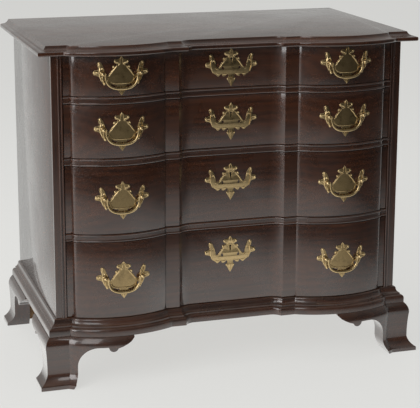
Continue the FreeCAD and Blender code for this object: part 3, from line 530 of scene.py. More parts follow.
# ---------------- effects and finishes
class Bench:
    """Adds nodes to a tree and joins them."""

    def __init__(self, tree):
        self.tree = tree

    def join(self, inputs, values):
        """Joins sockets to inputs by name, or gives those inputs numbers and colours."""
        for name, value in values.items():
            if isinstance(value, bpy.types.NodeSocket):
                self.tree.links.new(value, inputs[name])
            else:
                inputs[name].default_value = value

    def add(self, kind, inputs=None, **settings):
        """Adds a node. inputs holds numbers, colours or the sockets that feed it."""
        node = self.tree.nodes.new(kind)
        for name, value in settings.items():
            setattr(node, name, value)
        self.join(node.inputs, inputs or {})
        return node

    def group(self, name, build, inputs):
        """Adds an effect, which is built the first time that it is asked for."""
        tree = bpy.data.node_groups.get(name) or build()
        return self.add("ShaderNodeGroup", inputs, node_tree=tree).outputs

    def maths(self, operation, first, second):
        """Value of two values worked together."""
        return self.add("ShaderNodeMath", {0: first, 1: second}, operation=operation).outputs[0]

    def plus(self, first, second):
        """Sum of two values."""
        return self.maths("ADD", first, second)

    def times(self, first, second):
        """Product of two values."""
        return self.maths("MULTIPLY", first, second)

    def vectors(self, operation, inputs):
        """Vector worked from vectors."""
        return self.add("ShaderNodeVectorMath", inputs, operation=operation).outputs[0]

    def mixed(self, share, first, second, blend="MIX"):
        """Colour mixed from two colours."""
        node = self.add(
            "ShaderNodeMix", {0: share, 6: first, 7: second}, data_type="RGBA", blend_type=blend)
        return node.outputs[2]

    def stretched(self, vector, scale):
        """Vector scaled along its three axes."""
        return self.add("ShaderNodeMapping", {"Vector": vector, "Scale": scale}).outputs[0]

    def turned(self, vector, rotation):
        """Vector turned about the origin."""
        return self.add("ShaderNodeMapping", {"Vector": vector, "Rotation": rotation}).outputs[0]

    def noise(self, vector, scale, detail=2.0, roughness=0.5, output="Fac"):
        """Noise on a vector."""
        node = self.add(
            "ShaderNodeTexNoise",
            {"Vector": vector, "Scale": scale, "Detail": detail, "Roughness": roughness})
        return node.outputs[output]

    def ranged(self, value, low, high, to_low=0.0, to_high=1.0):
        """Value brought from one range to another and kept inside it."""
        node = self.add("ShaderNodeMapRange", {
            "Value": value, "From Min": low, "From Max": high, "To Min": to_low,
            "To Max": to_high})
        return node.outputs[0]


def effect(name, inputs, outputs):
    """Empty node group with sockets of given kinds: its tree, bench, start and end."""
    tree = bpy.data.node_groups.new(name, "ShaderNodeTree")
    for way, sockets in (("INPUT", inputs), ("OUTPUT", outputs)):
        for socket, kind in sockets.items():
            tree.interface.new_socket(socket, in_out=way, socket_type="NodeSocket" + kind)
    start = tree.nodes.new("NodeGroupInput")
    end = tree.nodes.new("NodeGroupOutput")
    return tree, Bench(tree), start.outputs, end.inputs


def wood_figure():
    """Figure of a board whose grain runs along the X of its vector."""
    tree, bench, given, result = effect(
        "Wood figure",
        {"Vector": "Vector", "Light": "Color", "Dark": "Color", "Ring Scale": "Float",
         "Ring Strength": "Float", "Pore Depth": "Float"},
        {"Color": "Color", "Height": "Float"})
    vector = given["Vector"]
    wander = bench.noise(bench.stretched(vector, (1.6, 7, 7)), 1.0, 3.0, 0.55, "Color")
    shift = bench.vectors("SUBTRACT", {0: wander, 1: (0.5, 0.5, 0.5)})
    push = bench.vectors("SCALE", {0: shift, "Scale": 0.035})
    bent = bench.vectors("ADD", {0: vector, 1: push})
    rings = bench.add(
        "ShaderNodeTexWave",
        {"Vector": bench.stretched(bent, (0.12, 1, 1)), "Scale": given["Ring Scale"],
         "Distortion": 0.7, "Detail": 2.0, "Detail Scale": 1.6},
        wave_type="RINGS", rings_direction="X", wave_profile="SIN").outputs["Fac"]
    streaks = bench.noise(bench.stretched(bent, (5, 240, 240)), 1.0, 4.0, 0.62)
    ribbon = bench.noise(bench.stretched(bent, (2.2, 16, 16)), 1.0, 1.0)
    pores = bench.noise(bench.stretched(vector, (70, 1300, 1300)), 1.0, 1.0)
    pitted = bench.times(bench.ranged(pores, 0.60, 0.68), given["Pore Depth"])
    ringed = bench.times(bench.ranged(rings, 0.15, 0.95), given["Ring Strength"])
    streaked = bench.times(bench.ranged(streaks, 0.36, 0.64), 0.5)
    ribboned = bench.times(bench.ranged(ribbon, 0.35, 0.65), 0.35)
    figure = bench.plus(bench.plus(ringed, streaked), ribboned)
    colour = bench.mixed(figure, given["Dark"], given["Light"])
    bench.join(result, {
        "Color": bench.mixed(pitted, colour, PORE_COLOUR),
        "Height": bench.maths("SUBTRACT", bench.times(streaks, 0.4), pitted)})
    return tree


def handling():
    """Old handling: fine scratches, soft smears and the dust that lies on ledges."""
    tree, bench, given, result = effect(
        "Handling",
        {"Vector": "Vector", "Scratches": "Float", "Dust": "Float"},
        {"Roughness": "Float", "Height": "Float", "Dust": "Float"})
    vector = given["Vector"]
    marks = []
    for turn, stretch, low in (((0.3, 0.5, 0.9), (14, 420, 420), 0.72),
                               ((1.1, 0.2, 2.2), (40, 520, 520), 0.73)):
        lines = bench.noise(bench.stretched(bench.turned(vector, turn), stretch), 1.0, 0.0)
        marks.append(bench.ranged(lines, low, 0.78))
    scratched = bench.times(bench.maths("MAXIMUM", *marks), given["Scratches"])
    smears = bench.ranged(bench.noise(vector, 9.0, 3.0, 0.6), 0.35, 0.7, 0.0, 0.16)
    normal = bench.add("ShaderNodeNewGeometry").outputs["Normal"]
    upward = bench.ranged(bench.add("ShaderNodeSeparateXYZ", {0: normal}).outputs["Z"], 0.35, 1.0)
    patches = bench.ranged(bench.noise(vector, 38.0, 4.0, 0.65), 0.35, 0.75)
    dust = bench.times(bench.times(upward, patches), given["Dust"])
    roughness = bench.plus(smears, bench.times(scratched, 0.25))
    bench.join(result, {
        "Roughness": bench.plus(roughness, bench.times(dust, 0.5)),
        "Height": bench.times(scratched, -0.35),
        "Dust": dust})
    return tree


def patina():
    """Old metal: dull in its hollows, rubbed bright on its edges, faintly pitted."""
    tree, bench, given, result = effect(
        "Patina",
        {"Vector": "Vector", "Bright": "Color", "Dull": "Color", "Stain": "Color"},
        {"Color": "Color", "Roughness": "Float", "Height": "Float"})
    vector = given["Vector"]
    clouds = bench.noise(vector, 60.0, 4.0, 0.6)
    specks = bench.noise(vector, 520.0, 3.0, 0.6)
    edge = bench.ranged(bench.add("ShaderNodeNewGeometry").outputs["Pointiness"], 0.49, 0.56)
    bright = bench.times(edge, bench.ranged(clouds, 0.25, 0.6, 0.45, 1.0))
    stained = bench.ranged(clouds, 0.52, 0.72, 0.0, 0.55)
    colour = bench.mixed(stained, given["Dull"], given["Stain"])
    colour = bench.mixed(bright, colour, given["Bright"])
    speckled = bench.ranged(specks, 0.3, 0.7, 0.82, 1.08)
    grey = bench.add("ShaderNodeCombineColor", {0: speckled, 1: speckled, 2: speckled}).outputs[0]
    rough = bench.ranged(clouds, 0.3, 0.75, 0.24, 0.46)
    bench.join(result, {
        "Color": bench.mixed(1.0, colour, grey, "MULTIPLY"),
        "Roughness": bench.maths("SUBTRACT", rough, bench.times(bright, 0.1)),
        "Height": bench.times(specks, 0.5)})
    return tree


def started(name):
    """Empty material with its bench, its surface node and the object's own coordinates."""
    finish = bpy.data.materials.new(name)
    finish.use_nodes = True
    bench = Bench(finish.node_tree)
    surface = finish.node_tree.nodes["Principled BSDF"]
    return finish, bench, surface, bench.add("ShaderNodeTexCoord").outputs["Object"]


def wood(name, light, dark, along, pith, rings, strength=0.24, pores=0.5, dust=0.12,
         polish=0.22, coat=1.0, scratches=0.5):
    """Wood finish. along is the way of the grain, pith the heart of the tree from the origin."""
    if name in bpy.data.materials:
        return bpy.data.materials[name]
    finish, bench, surface, place = started(name)
    turns = {"X": (0, 0, 0), "Y": (0, 0, math.pi / 2), "Z": (0, math.pi / 2, 0)}
    board = bench.add(
        "ShaderNodeMapping", {"Vector": place, "Rotation": turns[along], "Location": pith})
    figure = bench.group("Wood figure", wood_figure, {
        "Vector": board.outputs[0], "Light": (*light, 1), "Dark": (*dark, 1),
        "Ring Scale": rings, "Ring Strength": strength, "Pore Depth": pores})
    worn = bench.group("Handling", handling, {
        "Vector": place, "Scratches": scratches, "Dust": dust})
    relief = bench.plus(figure["Height"], worn["Height"])
    bump = bench.add("ShaderNodeBump", {"Height": relief, "Strength": 0.25, "Distance": BUMP_DEPTH})
    bench.join(surface.inputs, {
        "Base Color": bench.mixed(worn["Dust"], figure["Color"], DUST_COLOUR),
        "Roughness": bench.plus(worn["Roughness"], polish),
        "Normal": bump.outputs[0],
        "Coat Weight": coat,
        "Coat Roughness": 0.09,
        "Specular IOR Level": 0.5})
    return finish


def mahogany(name, along, pith, **changes):
    """Polished mahogany."""
    colours = bpy.context.scene.chest_colours
    return wood(name, colours.mahogany_light, colours.mahogany_dark, along, pith, **changes)


def pine(name, along, pith):
    """Unpolished pine with strong late wood."""
    colours = bpy.context.scene.chest_colours
    return wood(name, colours.pine_light, colours.pine_dark, along, pith, rings=44.0, strength=0.45,
                pores=0.15, dust=0.2, polish=0.55, coat=0.0, scratches=0.25)


def metal(name, bright, dull, stain, strength=0.12):
    """Old metal finish."""
    if name in bpy.data.materials:
        return bpy.data.materials[name]
    finish, bench, surface, place = started(name)
    old = bench.group("Patina", patina, {
        "Vector": place, "Bright": (*bright, 1), "Dull": (*dull, 1), "Stain": (*stain, 1)})
    bump = bench.add(
        "ShaderNodeBump", {"Height": old["Height"], "Strength": strength, "Distance": BUMP_DEPTH})
    bench.join(surface.inputs, {
        "Base Color": old["Color"],
        "Roughness": old["Roughness"],
        "Normal": bump.outputs[0],
        "Metallic": 1.0})
    return finish


def brass():
    """Old cast brass."""
    colours = bpy.context.scene.chest_colours
    return metal("Old brass", colours.brass_bright, colours.brass_dull, BRASS_STAIN)


def iron():
    """Iron with a little rust."""
    return metal("Dark iron", IRON_RUBBED, bpy.context.scene.chest_colours.iron, RUST, 0.3)


# ---------------- case
def mortised(bm, z):
    """Cuts the mortise for a lock's bolt, upwards from a height."""
    mortise = bmesh.new()
    add_box(mortise, *BOLT_MORTISE, z - 1, z + BOLT_MORTISE_DEPTH)
    return sawn(bm, mortise)


def top_piece():
    """Top board with its moulded edge."""
    bm = bmesh.new()
    sections = []
    for offset, rise in rounded(TOP_PROFILE):
        end = HALF_CASE + offset + TOP_SIDE_EXTRA
        back = ((end, TOP_BACK), (-end, TOP_BACK))
        sections.append(draw_board(bm, offset, TOP_UNDERSIDE + rise, end, back))
    skinned(bm, sections)
    bm = mortised(bm, TOP_UNDERSIDE)
    finish = mahogany("Mahogany top", "X", (0.2, 0.06, -0.93), rings=22.0, dust=0.05, polish=0.2)
    finish_piece(bm, "top", "case", finish, ("top_board",))


def carcase_pieces():
    """Sides, bottom, back boards, runners and glue blocks."""
    for word, pith in (("right", (0.1, 0.05, -0.30)), ("left", (0.3, 0.03, 0.52))):
        finish = mahogany(f"Mahogany {word} side", "Z", pith, rings=20.0)
        eased_node(f"side_{word}", f"{word}_side", "case", finish)
    for node, name, finish, along, pith, width in (
        ("bottom_board", "case_bottom", "Pine bottom", "X", (0, 0.2, -0.05), 0.0008),
        ("back_boards", "back", "Pine back", "X", (0, -0.3, -0.2), 0.0016),
        ("drawer_runners", "runners", "Pine runners", "Y", (0, 0.45, -0.3), None),
        ("foot_blocks", "glue_blocks", "Pine blocks", "Z", (0, 0.3, 0.2), 0.0012),
    ):
        eased_node(node, name, "case", pine(finish, along, pith), width)


def blade_piece(number):
    """Rail under a drawer, with a round bead along each edge of its face."""
    z0 = OPENINGS[number][0] - BLADE_THICKNESS
    bm = bmesh.new()
    sections = []
    back = ((OPENING_HALF, BLADE_DEPTH), (-OPENING_HALF, BLADE_DEPTH))
    for rise, up in rounded(BLADE_PROFILE, 7):
        sections.append(draw_board(bm, max(rise, 0.0), z0 + up, OPENING_HALF, back))
    skinned(bm, sections)
    bm = mortised(bm, z0)
    for side in (-1, 1):
        ends = sorted((side * OPENING_HALF, side * HOUSING_END))
        add_box(bm, *ends, STILE_THICKNESS, BLADE_DEPTH, z0, z0 + BLADE_THICKNESS)
    finish = mahogany("Mahogany blades", "X", (0.4, 0.21, -0.4), rings=24.0, strength=0.3)
    finish_piece(bm, f"blade_{number}", "case", finish, (f"drawer_blade_{number}",))


def stile_pieces():
    """Facing strips with two round beads each."""
    for side, name in ((1, "right"), (-1, "left")):
        bm = bmesh.new()
        pen = Pen(bm, (side * HALF_CASE, STILE_THICKNESS, BASE_TOP))
        pen.line((side * HALF_CASE, 0.6, BASE_TOP))
        pen.line((side * (HALF_CASE - 0.6), 0, BASE_TOP))
        for start in (11.5, 5.0):
            outer = OPENING_HALF + start
            pen.line((side * outer, 0, BASE_TOP))
            pen.arc(side * (outer - 2.5), 0, -side * math.pi, 8)
        pen.line((side * OPENING_HALF, STILE_THICKNESS, BASE_TOP))
        pen.close()
        pushed(bm, pen.edges, (0, 0, TOP_UNDERSIDE - BASE_TOP))
        finish = mahogany("Mahogany stiles", "Z", (0.2, 0.25, 0.1), rings=30.0, strength=0.25)
        finish_piece(bm, f"{name}_stile", "case", finish, (f"stile_{name}",))


# ---------------- base and feet
def base_front_piece():
    """Moulding along the blocked front, mitred at both ends."""
    bm = bmesh.new()
    sections = []
    half = (
        (HALF_CASE, 0.0), (HALF_CASE, STILE_THICKNESS), (OPENING_HALF, STILE_THICKNESS),
        (OPENING_HALF, BASE_FRONT_DEPTH))
    back = half + tuple((-x, y) for x, y in half[::-1])
    for offset, z in rounded(BASE_PROFILE):
        sections.append(draw_board(bm, offset, z, HALF_CASE + offset, back))
    skinned(bm, sections)
    finish = mahogany("Mahogany base", "X", (0.3, 0.17, -0.06), rings=26.0, dust=0.16)
    finish_piece(bm, "base_front", "case", finish, ("base_moulding_front",))


def side_run(profile, inner, end_y):
    """Moulding along the right side, from its mitre at the front corner to end_y."""
    bm = bmesh.new()
    start_y = -70
    outline = [(HALF_CASE + offset, start_y, z) for offset, z in rounded(profile)]
    outline += [(HALF_CASE - inner, start_y, profile[end][1]) for end in (-1, 0)]
    pushed(bm, draw_outline(bm, outline), (0, end_y - start_y, 0))
    everything = bm.verts[:] + bm.edges[:] + bm.faces[:]
    mitred = bmesh.ops.bisect_plane(
        bm, geom=everything, plane_co=(HALF_CASE, 0, 0), plane_no=(-1, -1, 0), clear_outer=True)
    cut_edges = [item for item in mitred["geom_cut"] if isinstance(item, bmesh.types.BMEdge)]
    bmesh.ops.holes_fill(bm, edges=cut_edges)
    bmesh.ops.recalc_face_normals(bm, faces=bm.faces)
    return bm


def bracket_blank(ankle):
    """A foot bracket's outline, from the corner inward, as a thick plate standing in XZ."""
    run, flat, lobe, reach, thickness = 48.0, 20.0, 11.0, 39.0, 180
    arch_top = FOOT_HEIGHT - 22.0
    above, below, past_corner = FOOT_HEIGHT + 4, -4, -60
    toe = (ankle - 13, 0)
    rise = [toe, (ankle - 8.2, 8.6), (ankle - 4.3, 16), (ankle - 1.4, 24), (ankle, 32)]
    arch = [
        (ankle + run * (1 - math.cos(turn)), arch_top - run * (1 - math.sin(turn)))
        for turn in (math.pi / 2 * step / 14 for step in range(15))]
    start = ankle + run + flat
    drop = [
        (start + lobe * (1 - math.cos(turn)), arch_top - lobe * math.sin(turn))
        for turn in (math.pi * step / 16 for step in range(15))]
    end = start + 2 * lobe
    sweep = [
        (end, arch_top - 3), (end + 10, arch_top + 0.4), (end + 20, arch_top + 5),
        (end + 30, arch_top + 10.6), (end + reach, FOOT_HEIGHT - 3)]
    beyond = [(end + reach, above), (past_corner, above), (past_corner, below), (toe[0], below)]
    outline = [(x, -thickness / 2, z) for x, z in rise + arch + drop + sweep + beyond]
    bm = bmesh.new()
    pushed(bm, draw_outline(bm, outline), (0, thickness, 0))
    return bm


def placed_blank(ankle, corner_y=None, backwards=False):
    """Bracket blank at the right corner, facing the front or, from corner_y, the side."""
    bm = bracket_blank(ankle)
    if corner_y is None:
        matrix = Matrix.Translation((HALF_CASE, 0, 0)) @ Matrix.Diagonal((-1, 1, 1, 1))
    else:
        turn = Matrix.Rotation(math.pi / 2, 4, "Z")
        flip = Matrix.Diagonal((-1 if backwards else 1, 1, 1, 1))
        matrix = Matrix.Translation((HALF_CASE, corner_y, 0)) @ turn @ flip
    bmesh.ops.transform(bm, matrix=matrix, verts=bm.verts)
    bmesh.ops.recalc_face_normals(bm, faces=bm.faces)
    return bm


def front_foot_blank():
    """Ogee block of the front bracket of the right foot, before its outline is sawn."""
    bm = bmesh.new()
    sections = []
    for offset, z in rounded(FOOT_PROFILE):
        shoulder = SHOULDER_RADIUS + offset
        outer = math.acos(offset / shoulder)
        end_x = SHOULDER_CENTRES[1] - shoulder * math.sin(SHOULDER_ANGLE)
        pen = Pen(bm, (end_x, BRACKET_THICKNESS, z))
        pen.line((end_x, -shoulder * math.cos(SHOULDER_ANGLE), z))
        pen.arc(BLOCK_CENTRE, BLOCK_AXIS_Y, 2 * SHOULDER_ANGLE, 28)
        pen.arc(SHOULDER_CENTRES[0], 0, outer - SHOULDER_ANGLE, 5)
        pen.line((HALF_CASE + offset, -offset, z))
        pen.line((HALF_CASE - BRACKET_THICKNESS, BRACKET_THICKNESS, z))
        pen.close()
        sections.append(pen.edges)
    skinned(bm, sections)
    return bm


def mirrored_copy(bm):
    """Copy of a bmesh on the other side of the chest."""
    copy = bm.copy()
    bmesh.ops.scale(copy, verts=copy.verts, vec=(-1, 1, 1))
    bmesh.ops.reverse_faces(copy, faces=copy.faces)
    return copy


def foot_pieces():
    """Front feet of two mitred brackets, rear feet of a side and a plain back bracket."""
    face = sawn(front_foot_blank(), placed_blank(40.0), "INTERSECT")
    side = side_run(FOOT_PROFILE, BRACKET_THICKNESS, 230)
    side = sawn(side, placed_blank(30.0, 0), "INTERSECT")
    rear = side_run(FOOT_PROFILE, BRACKET_THICKNESS, CASE_DEPTH)
    rear = sawn(rear, placed_blank(68.0, CASE_DEPTH, True), "INTERSECT")
    back = bmesh.new()
    corner = HALF_CASE - BRACKET_THICKNESS
    outline = (
        (corner, 0), (corner - 36, 0), (corner - 46, 59), (corner - 160, 92),
        (corner - 160, FOOT_HEIGHT), (corner, FOOT_HEIGHT))
    front_y = CASE_DEPTH - BACK_BRACKET_THICKNESS
    drawn = draw_outline(back, [(x, front_y, z) for x, z in outline])
    pushed(back, drawn, (0, BACK_BRACKET_THICKNESS, 0))
    ease(back, 0.8)
    across = mahogany("Mahogany foot fronts", "X", (0.1, 0.20, -0.03), rings=24.0, dust=0.16)
    along = mahogany("Mahogany foot sides", "Y", (0.1, 0.36, -0.03), rings=24.0, dust=0.16)
    rough = pine("Pine brackets", "X", (0, -0.2, -0.1))
    for bm, node, name, finish, slot in (
        (face, "front_foot_{}_face", "front_foot_{}_face_bracket", across, "mahogany"),
        (side, "front_foot_{}_side", "front_foot_{}_side_bracket", along, "mahogany"),
        (rear, "rear_foot_{}", "rear_foot_{}_bracket", along, "mahogany"),
        (back, "rear_foot_{}", "rear_foot_{}_back_bracket", rough, "pine"),
    ):
        for word, bracket in (("right", bm), ("left", mirrored_copy(bm))):
            finish_piece(
                bracket, name.format(word), "case", finish, (node.format(word),), 38)


def base_side_pieces():
    """Mouldings along both sides."""
    bm = side_run(BASE_PROFILE, 0, CASE_DEPTH)
    doubled(bm)
    finish = mahogany("Mahogany side mouldings", "Y", (0.3, 0.35, -0.06), rings=26.0, dust=0.16)
    finish_piece(bm, "base_sides", "case", finish, ("base_moulding_sides",))


# ---------------- drawers
def tail_count(number):
    """Dovetails for the depth of a drawer, most in the deepest one."""
    depths = {key: z1 - z0 for key, (z0, z1) in OPENINGS.items()}
    most = bpy.context.scene.chest_sizes.tails
    return max(2, round(most * depths[number] / max(depths.values())))


def tail_outline(z0, z1, count, root, tip):
    """Corners of a row of dovetails from z0 up to z1, from their root to their tip in Y."""
    pitch = (z1 - z0) / count
    narrow, wide = 0.24 * pitch, 0.13 * pitch
    corners = []
    for index in range(count):
        low, high = z0 + index * pitch, z0 + (index + 1) * pitch
        first, last = index == 0, index == count - 1
        corners += [
            (root, low + (0 if first else narrow)), (tip, low + (0 if first else wide)),
            (tip, high - (0 if last else wide)), (root, high - (0 if last else narrow))]
    return corners


def drawer_side_blank(number):
    """Right side of a drawer with its dovetails at both ends."""
    z0, z1 = OPENINGS[number]
    low, high = z0 + DRAWER_GAP, z1 - RIM_DROP
    count = tail_count(number)
    front = tail_outline(low, high, count, FRONT_BACK, FRONT_BACK - SIDE_LAP)
    rear = tail_outline(low, high, count, DRAWER_END - SIDE_THICKNESS, DRAWER_END)
    outline = [(FRONT_BACK, z0)] + front + rear[::-1] + [(DRAWER_END - SIDE_THICKNESS, z0)]
    bm = bmesh.new()
    inner = SIDE_FACE - SIDE_THICKNESS
    corners = draw_outline(bm, [(inner, y, z) for y, z in outline])
    pushed(bm, corners, (SIDE_THICKNESS, 0, 0))
    bmesh.ops.remove_doubles(bm, verts=bm.verts, dist=0.01)
    return bm


def drawer_front_piece(number):
    """Front sawn to the blocked line, with its dovetail sockets, lock bed and keyhole."""
    z0, z1 = OPENINGS[number]
    bottom, top = z0 + DRAWER_GAP, z1 - DRAWER_GAP
    half = OPENING_HALF - DRAWER_GAP
    bm = bmesh.new()
    sections = []
    back = ((half, FRONT_BACK), (-half, FRONT_BACK))
    for offset, z in ((-0.5, bottom), (-0.1, bottom + 0.25), (0, bottom + 0.7),
                      (0, top - 0.7), (-0.1, top - 0.25), (-0.5, top)):
        sections.append(draw_board(bm, offset, z, half, back))
    skinned(bm, sections)
    side = drawer_side_blank(number)
    doubled(side)
    bm = sawn(bm, side)
    beds = bmesh.new()
    lock_half, lock_front, lock_drop = LOCK_BED
    add_box(beds, -lock_half, lock_half, lock_front, FRONT_BACK + 2, top - lock_drop, top + 2)
    groove = SIDE_FACE - SIDE_THICKNESS + GROOVE_DEPTH
    low, high = (z0 + rise for rise in DRAWER_BOTTOM)
    add_box(beds, -groove, groove, FRONT_BACK - GROOVE_DEPTH, FRONT_BACK + 12, low, high)
    bm = sawn(bm, beds)
    key = bmesh.new()
    middle = ESCUTCHEON_HEIGHTS[number] + KEYHOLE_RISE
    slot_half, slot_drop, depth, round_radius, round_rise = 1.5, 6.5, 20, 2.7, 3.8
    add_box(key, -slot_half, slot_half, 0, depth, middle - slot_drop, middle + 4)
    bm = sawn(bm, key)
    round_top = bmesh.new()
    lying = Matrix.Rotation(math.pi / 2, 4, "X")
    bmesh.ops.create_cone(
        round_top, cap_ends=True, segments=16, radius1=round_radius, radius2=round_radius,
        depth=depth, matrix=Matrix.Translation((0, depth / 2, middle + round_rise)) @ lying)
    bm = sawn(bm, round_top)
    pith = (0.13 * number, 0.175 + 0.012 * number, -(z0 + z1) / 2 * MM + 0.02)
    finish = mahogany(
        f"Mahogany drawer {number}", "X", pith, rings=17.0 + number, strength=0.3, dust=0.06,
        polish=0.2)
    body = f"drawer_{number}"
    finish_piece(bm, body + "_front_board", body, finish, (body + "_front",), 26)


def drawer_box_pieces(number):
    """Dovetailed sides, back and bottom of a drawer."""
    body = f"drawer_{number}"
    z0, z1 = OPENINGS[number]
    low, high = (z0 + rise for rise in DRAWER_BOTTOM)
    rim = z1 - RIM_DROP
    bm = drawer_side_blank(number)
    groove = bmesh.new()
    deep = SIDE_FACE - SIDE_THICKNESS + GROOVE_DEPTH
    add_box(groove, 370, deep, FRONT_BACK - GROOVE_DEPTH, DRAWER_END + 2, low, high)
    bm = sawn(bm, groove)
    upper = [
        edge for edge in bm.edges
        if all(v.co.z > rim - 0.01 for v in edge.verts)
        and abs(edge.verts[0].co.y - edge.verts[1].co.y) > 100]
    bevelled(bm, upper, 2.5, 4)
    doubled(bm)
    finish = pine("Pine drawer sides", "Y", (0.1, 0.43, -0.35))
    finish_piece(bm, body + "_side_boards", body, finish, (body + "_sides",))
    back = bmesh.new()
    add_box(back, -SIDE_FACE, SIDE_FACE, DRAWER_END - SIDE_THICKNESS, DRAWER_END, high, rim)
    side = drawer_side_blank(number)
    doubled(side)
    back = sawn(back, side)
    finish = pine("Pine drawer backs", "X", (0.2, -0.2, -0.3))
    finish_piece(back, body + "_back_board", body, finish, (body + "_back",))
    finish = pine("Pine drawer bottoms", "Y", (0, 0.2, -0.1))
    eased_node(body + "_bottom", body + "_bottom_board", body, finish)


# ---------------- brasses
def flat_plate(bm, outlines, thickness):
    """Adds a sheet with soft edges, cut to its outlines. It stands in XZ, its back at Y = 0."""
    edge = 0.35
    curve = bpy.data.curves.new("sheet", "CURVE")
    curve.dimensions = "2D"
    curve.fill_mode = "BOTH"
    curve.extrude = thickness / 2 - edge
    curve.bevel_depth = edge
    curve.offset = -edge
    curve.bevel_resolution = 2
    curve.resolution_u = 5
    for outline, corners in outlines:
        spline = curve.splines.new("BEZIER")
        spline.bezier_points.add(len(outline) - 1)
        for index, (point, (x, z)) in enumerate(zip(spline.bezier_points, outline)):
            point.co = (x, z, 0)
            kind = "VECTOR" if index in corners else "AUTO"
            point.handle_left_type = kind
            point.handle_right_type = kind
        spline.use_cyclic_u = True
    sheet = bmesh.new()
    add_curve(sheet, curve)
    stand = Matrix.Translation((0, -thickness / 2, 0)) @ Matrix.Rotation(math.pi / 2, 4, "X")
    bmesh.ops.transform(sheet, matrix=stand, verts=sheet.verts)
    bmesh.ops.remove_doubles(sheet, verts=sheet.verts, dist=0.002)
    mesh = bpy.data.meshes.new("sheet")
    sheet.to_mesh(mesh)
    sheet.free()
    bm.from_mesh(mesh)
    bpy.data.meshes.remove(mesh)


def whole(half):
    """Closed outline from its half, and the places of its corners at crest and pendant."""
    left = [(-x, z) for x, z in half[1:-1]]
    return (tuple(half) + tuple(left[::-1]), (0, len(half) - 1))


def flipped(outline):
    """Piercing on the other side of the middle line."""
    return (tuple((-x, z) for x, z in outline), ())


def add_relief(bm, lines, depth):
    """Adds chased lines and bosses on both sides of the middle line of a plate."""
    for points, radii in lines:
        for side in (1, -1):
            places = [(side * x, -depth, z) for x, z in points]
            add_rod(bm, places, radii, 2, 4)


def chasing(bm, depth):
    """Scrolled arms, bosses and crest, which pulls and escutcheons share."""
    lines = (
        (((44, -17), (47, -9), (49, -2), (48.8, 7), (46.4, 15), (49, 23.4)),
         (0.8, 1.7, 2.1, 2.0, 1.5, 0.9)),
        (((49, 2), (54, 3.2), (59.4, 1.4)), (1.1, 1.5, 1.4)),
        (((52, -2.4), (56, -1.8), (60.6, -0.6)), (0.6, 0.9, 0.6)),
        (((51, 13), (50.6, 18), (49.6, 22)), (0.7, 1.1, 0.7)),
        (((46, 8), (42.4, 12.8), (40, 9.6), (38.4, 4.4)), (0.7, 1.3, 1.2, 0.6)),
        (((31, -10.4), (34.6, -9.4), (38.6, -6.2)), (0.5, 1.1, 0.5)),
        (((28.8, -6.6), (24.4, -1.4), (21.4, 3.6), (18.4, 7.4), (13.6, 12.2), (10.4, 16.4)),
         (0.6, 1.2, 1.4, 1.5, 1.3, 0.8)),
        (((12, 14.8), (15.4, 15.2), (18, 13.8)), (0.6, 1.2, 0.9)),
        (((8, 17.6), (6, 20), (2.6, 20.6)), (0.6, 1.1, 0.7)),
        (((4, 21), (9, 25.6), (15.6, 25.4)), (0.7, 1.6, 1.1)),
        (((6.6, 21.6), (10.6, 22.8), (14.6, 22.6)), (0.4, 0.9, 0.5)),
        (((3.2, 23), (3.8, 30), (0.8, 36.6)), (0.7, 1.4, 0.6)),
    )
    add_relief(bm, lines, depth)
    for side in (-1, 1):
        for x, z, radius, rise in ((59.6, 1.6, 3.0, 2.0), (49, 22.6, 2.5, 1.8),
                                   (17.8, 14.6, 2.1, 1.6), (14.2, 26.6, 2.3, 1.7)):
            add_dome(bm, side * x, depth, z, radius, rise)


def hand(side):
    """Word for the side that a piece is on."""
    return "right" if side > 0 else "left"


def pull_plate_piece(side, number, thickness):
    """Pierced and chased plate, bent to the round of its block."""
    bm = bmesh.new()
    outlines = [whole(CREST + ARM + PULL_TAIL), (TEAR_PIERCING, (0,))]
    for piercing in (SIDE_PIERCING, LOWER_PIERCING):
        outlines += [(piercing, ()), flipped(piercing)]
    flat_plate(bm, outlines, thickness)
    chasing(bm, thickness)
    rim = (
        ((28.4, -7.4), (28.8, -13.6), (25.4, -19.4), (17, -22.4), (8, -23), (0, -23.2)),
        (0.6, 1.1, 1.2, 1.1, 1.1, 1.1))
    pendant = (((3.0, -30.6), (3.4, -37), (0.4, -47.6)), (0.7, 1.2, 0.5))
    leaf = (((38.6, -23), (40.4, -18), (43, -12.6), (42.6, -6)), (1.0, 1.2, 1.2, 0.6))
    add_relief(bm, [rim, pendant, leaf], thickness)
    for end in (-1, 1):
        add_dome(bm, end * 38.4, thickness, -22.8, 2.5, 1.7)
    for x in range(-60, 61, 4):
        everything = bm.verts[:] + bm.edges[:] + bm.faces[:]
        bmesh.ops.bisect_plane(
            bm, geom=everything, dist=1e-4, plane_co=(x, 0, 0), plane_no=(1, 0, 0))
    for vert in bm.verts:
        radius = BLOCK_RADIUS - vert.co.y
        vert.co.y = BLOCK_AXIS_Y - math.sqrt(radius**2 - vert.co.x**2)
    bmesh.ops.translate(bm, verts=bm.verts, vec=(side * BLOCK_CENTRE, 0, PULL_HEIGHTS[number]))
    body = f"drawer_{number}"
    name = f"{body}_{hand(side)}_plate"
    finish_piece(bm, name, body, brass(), (body + "_plates",), 40)


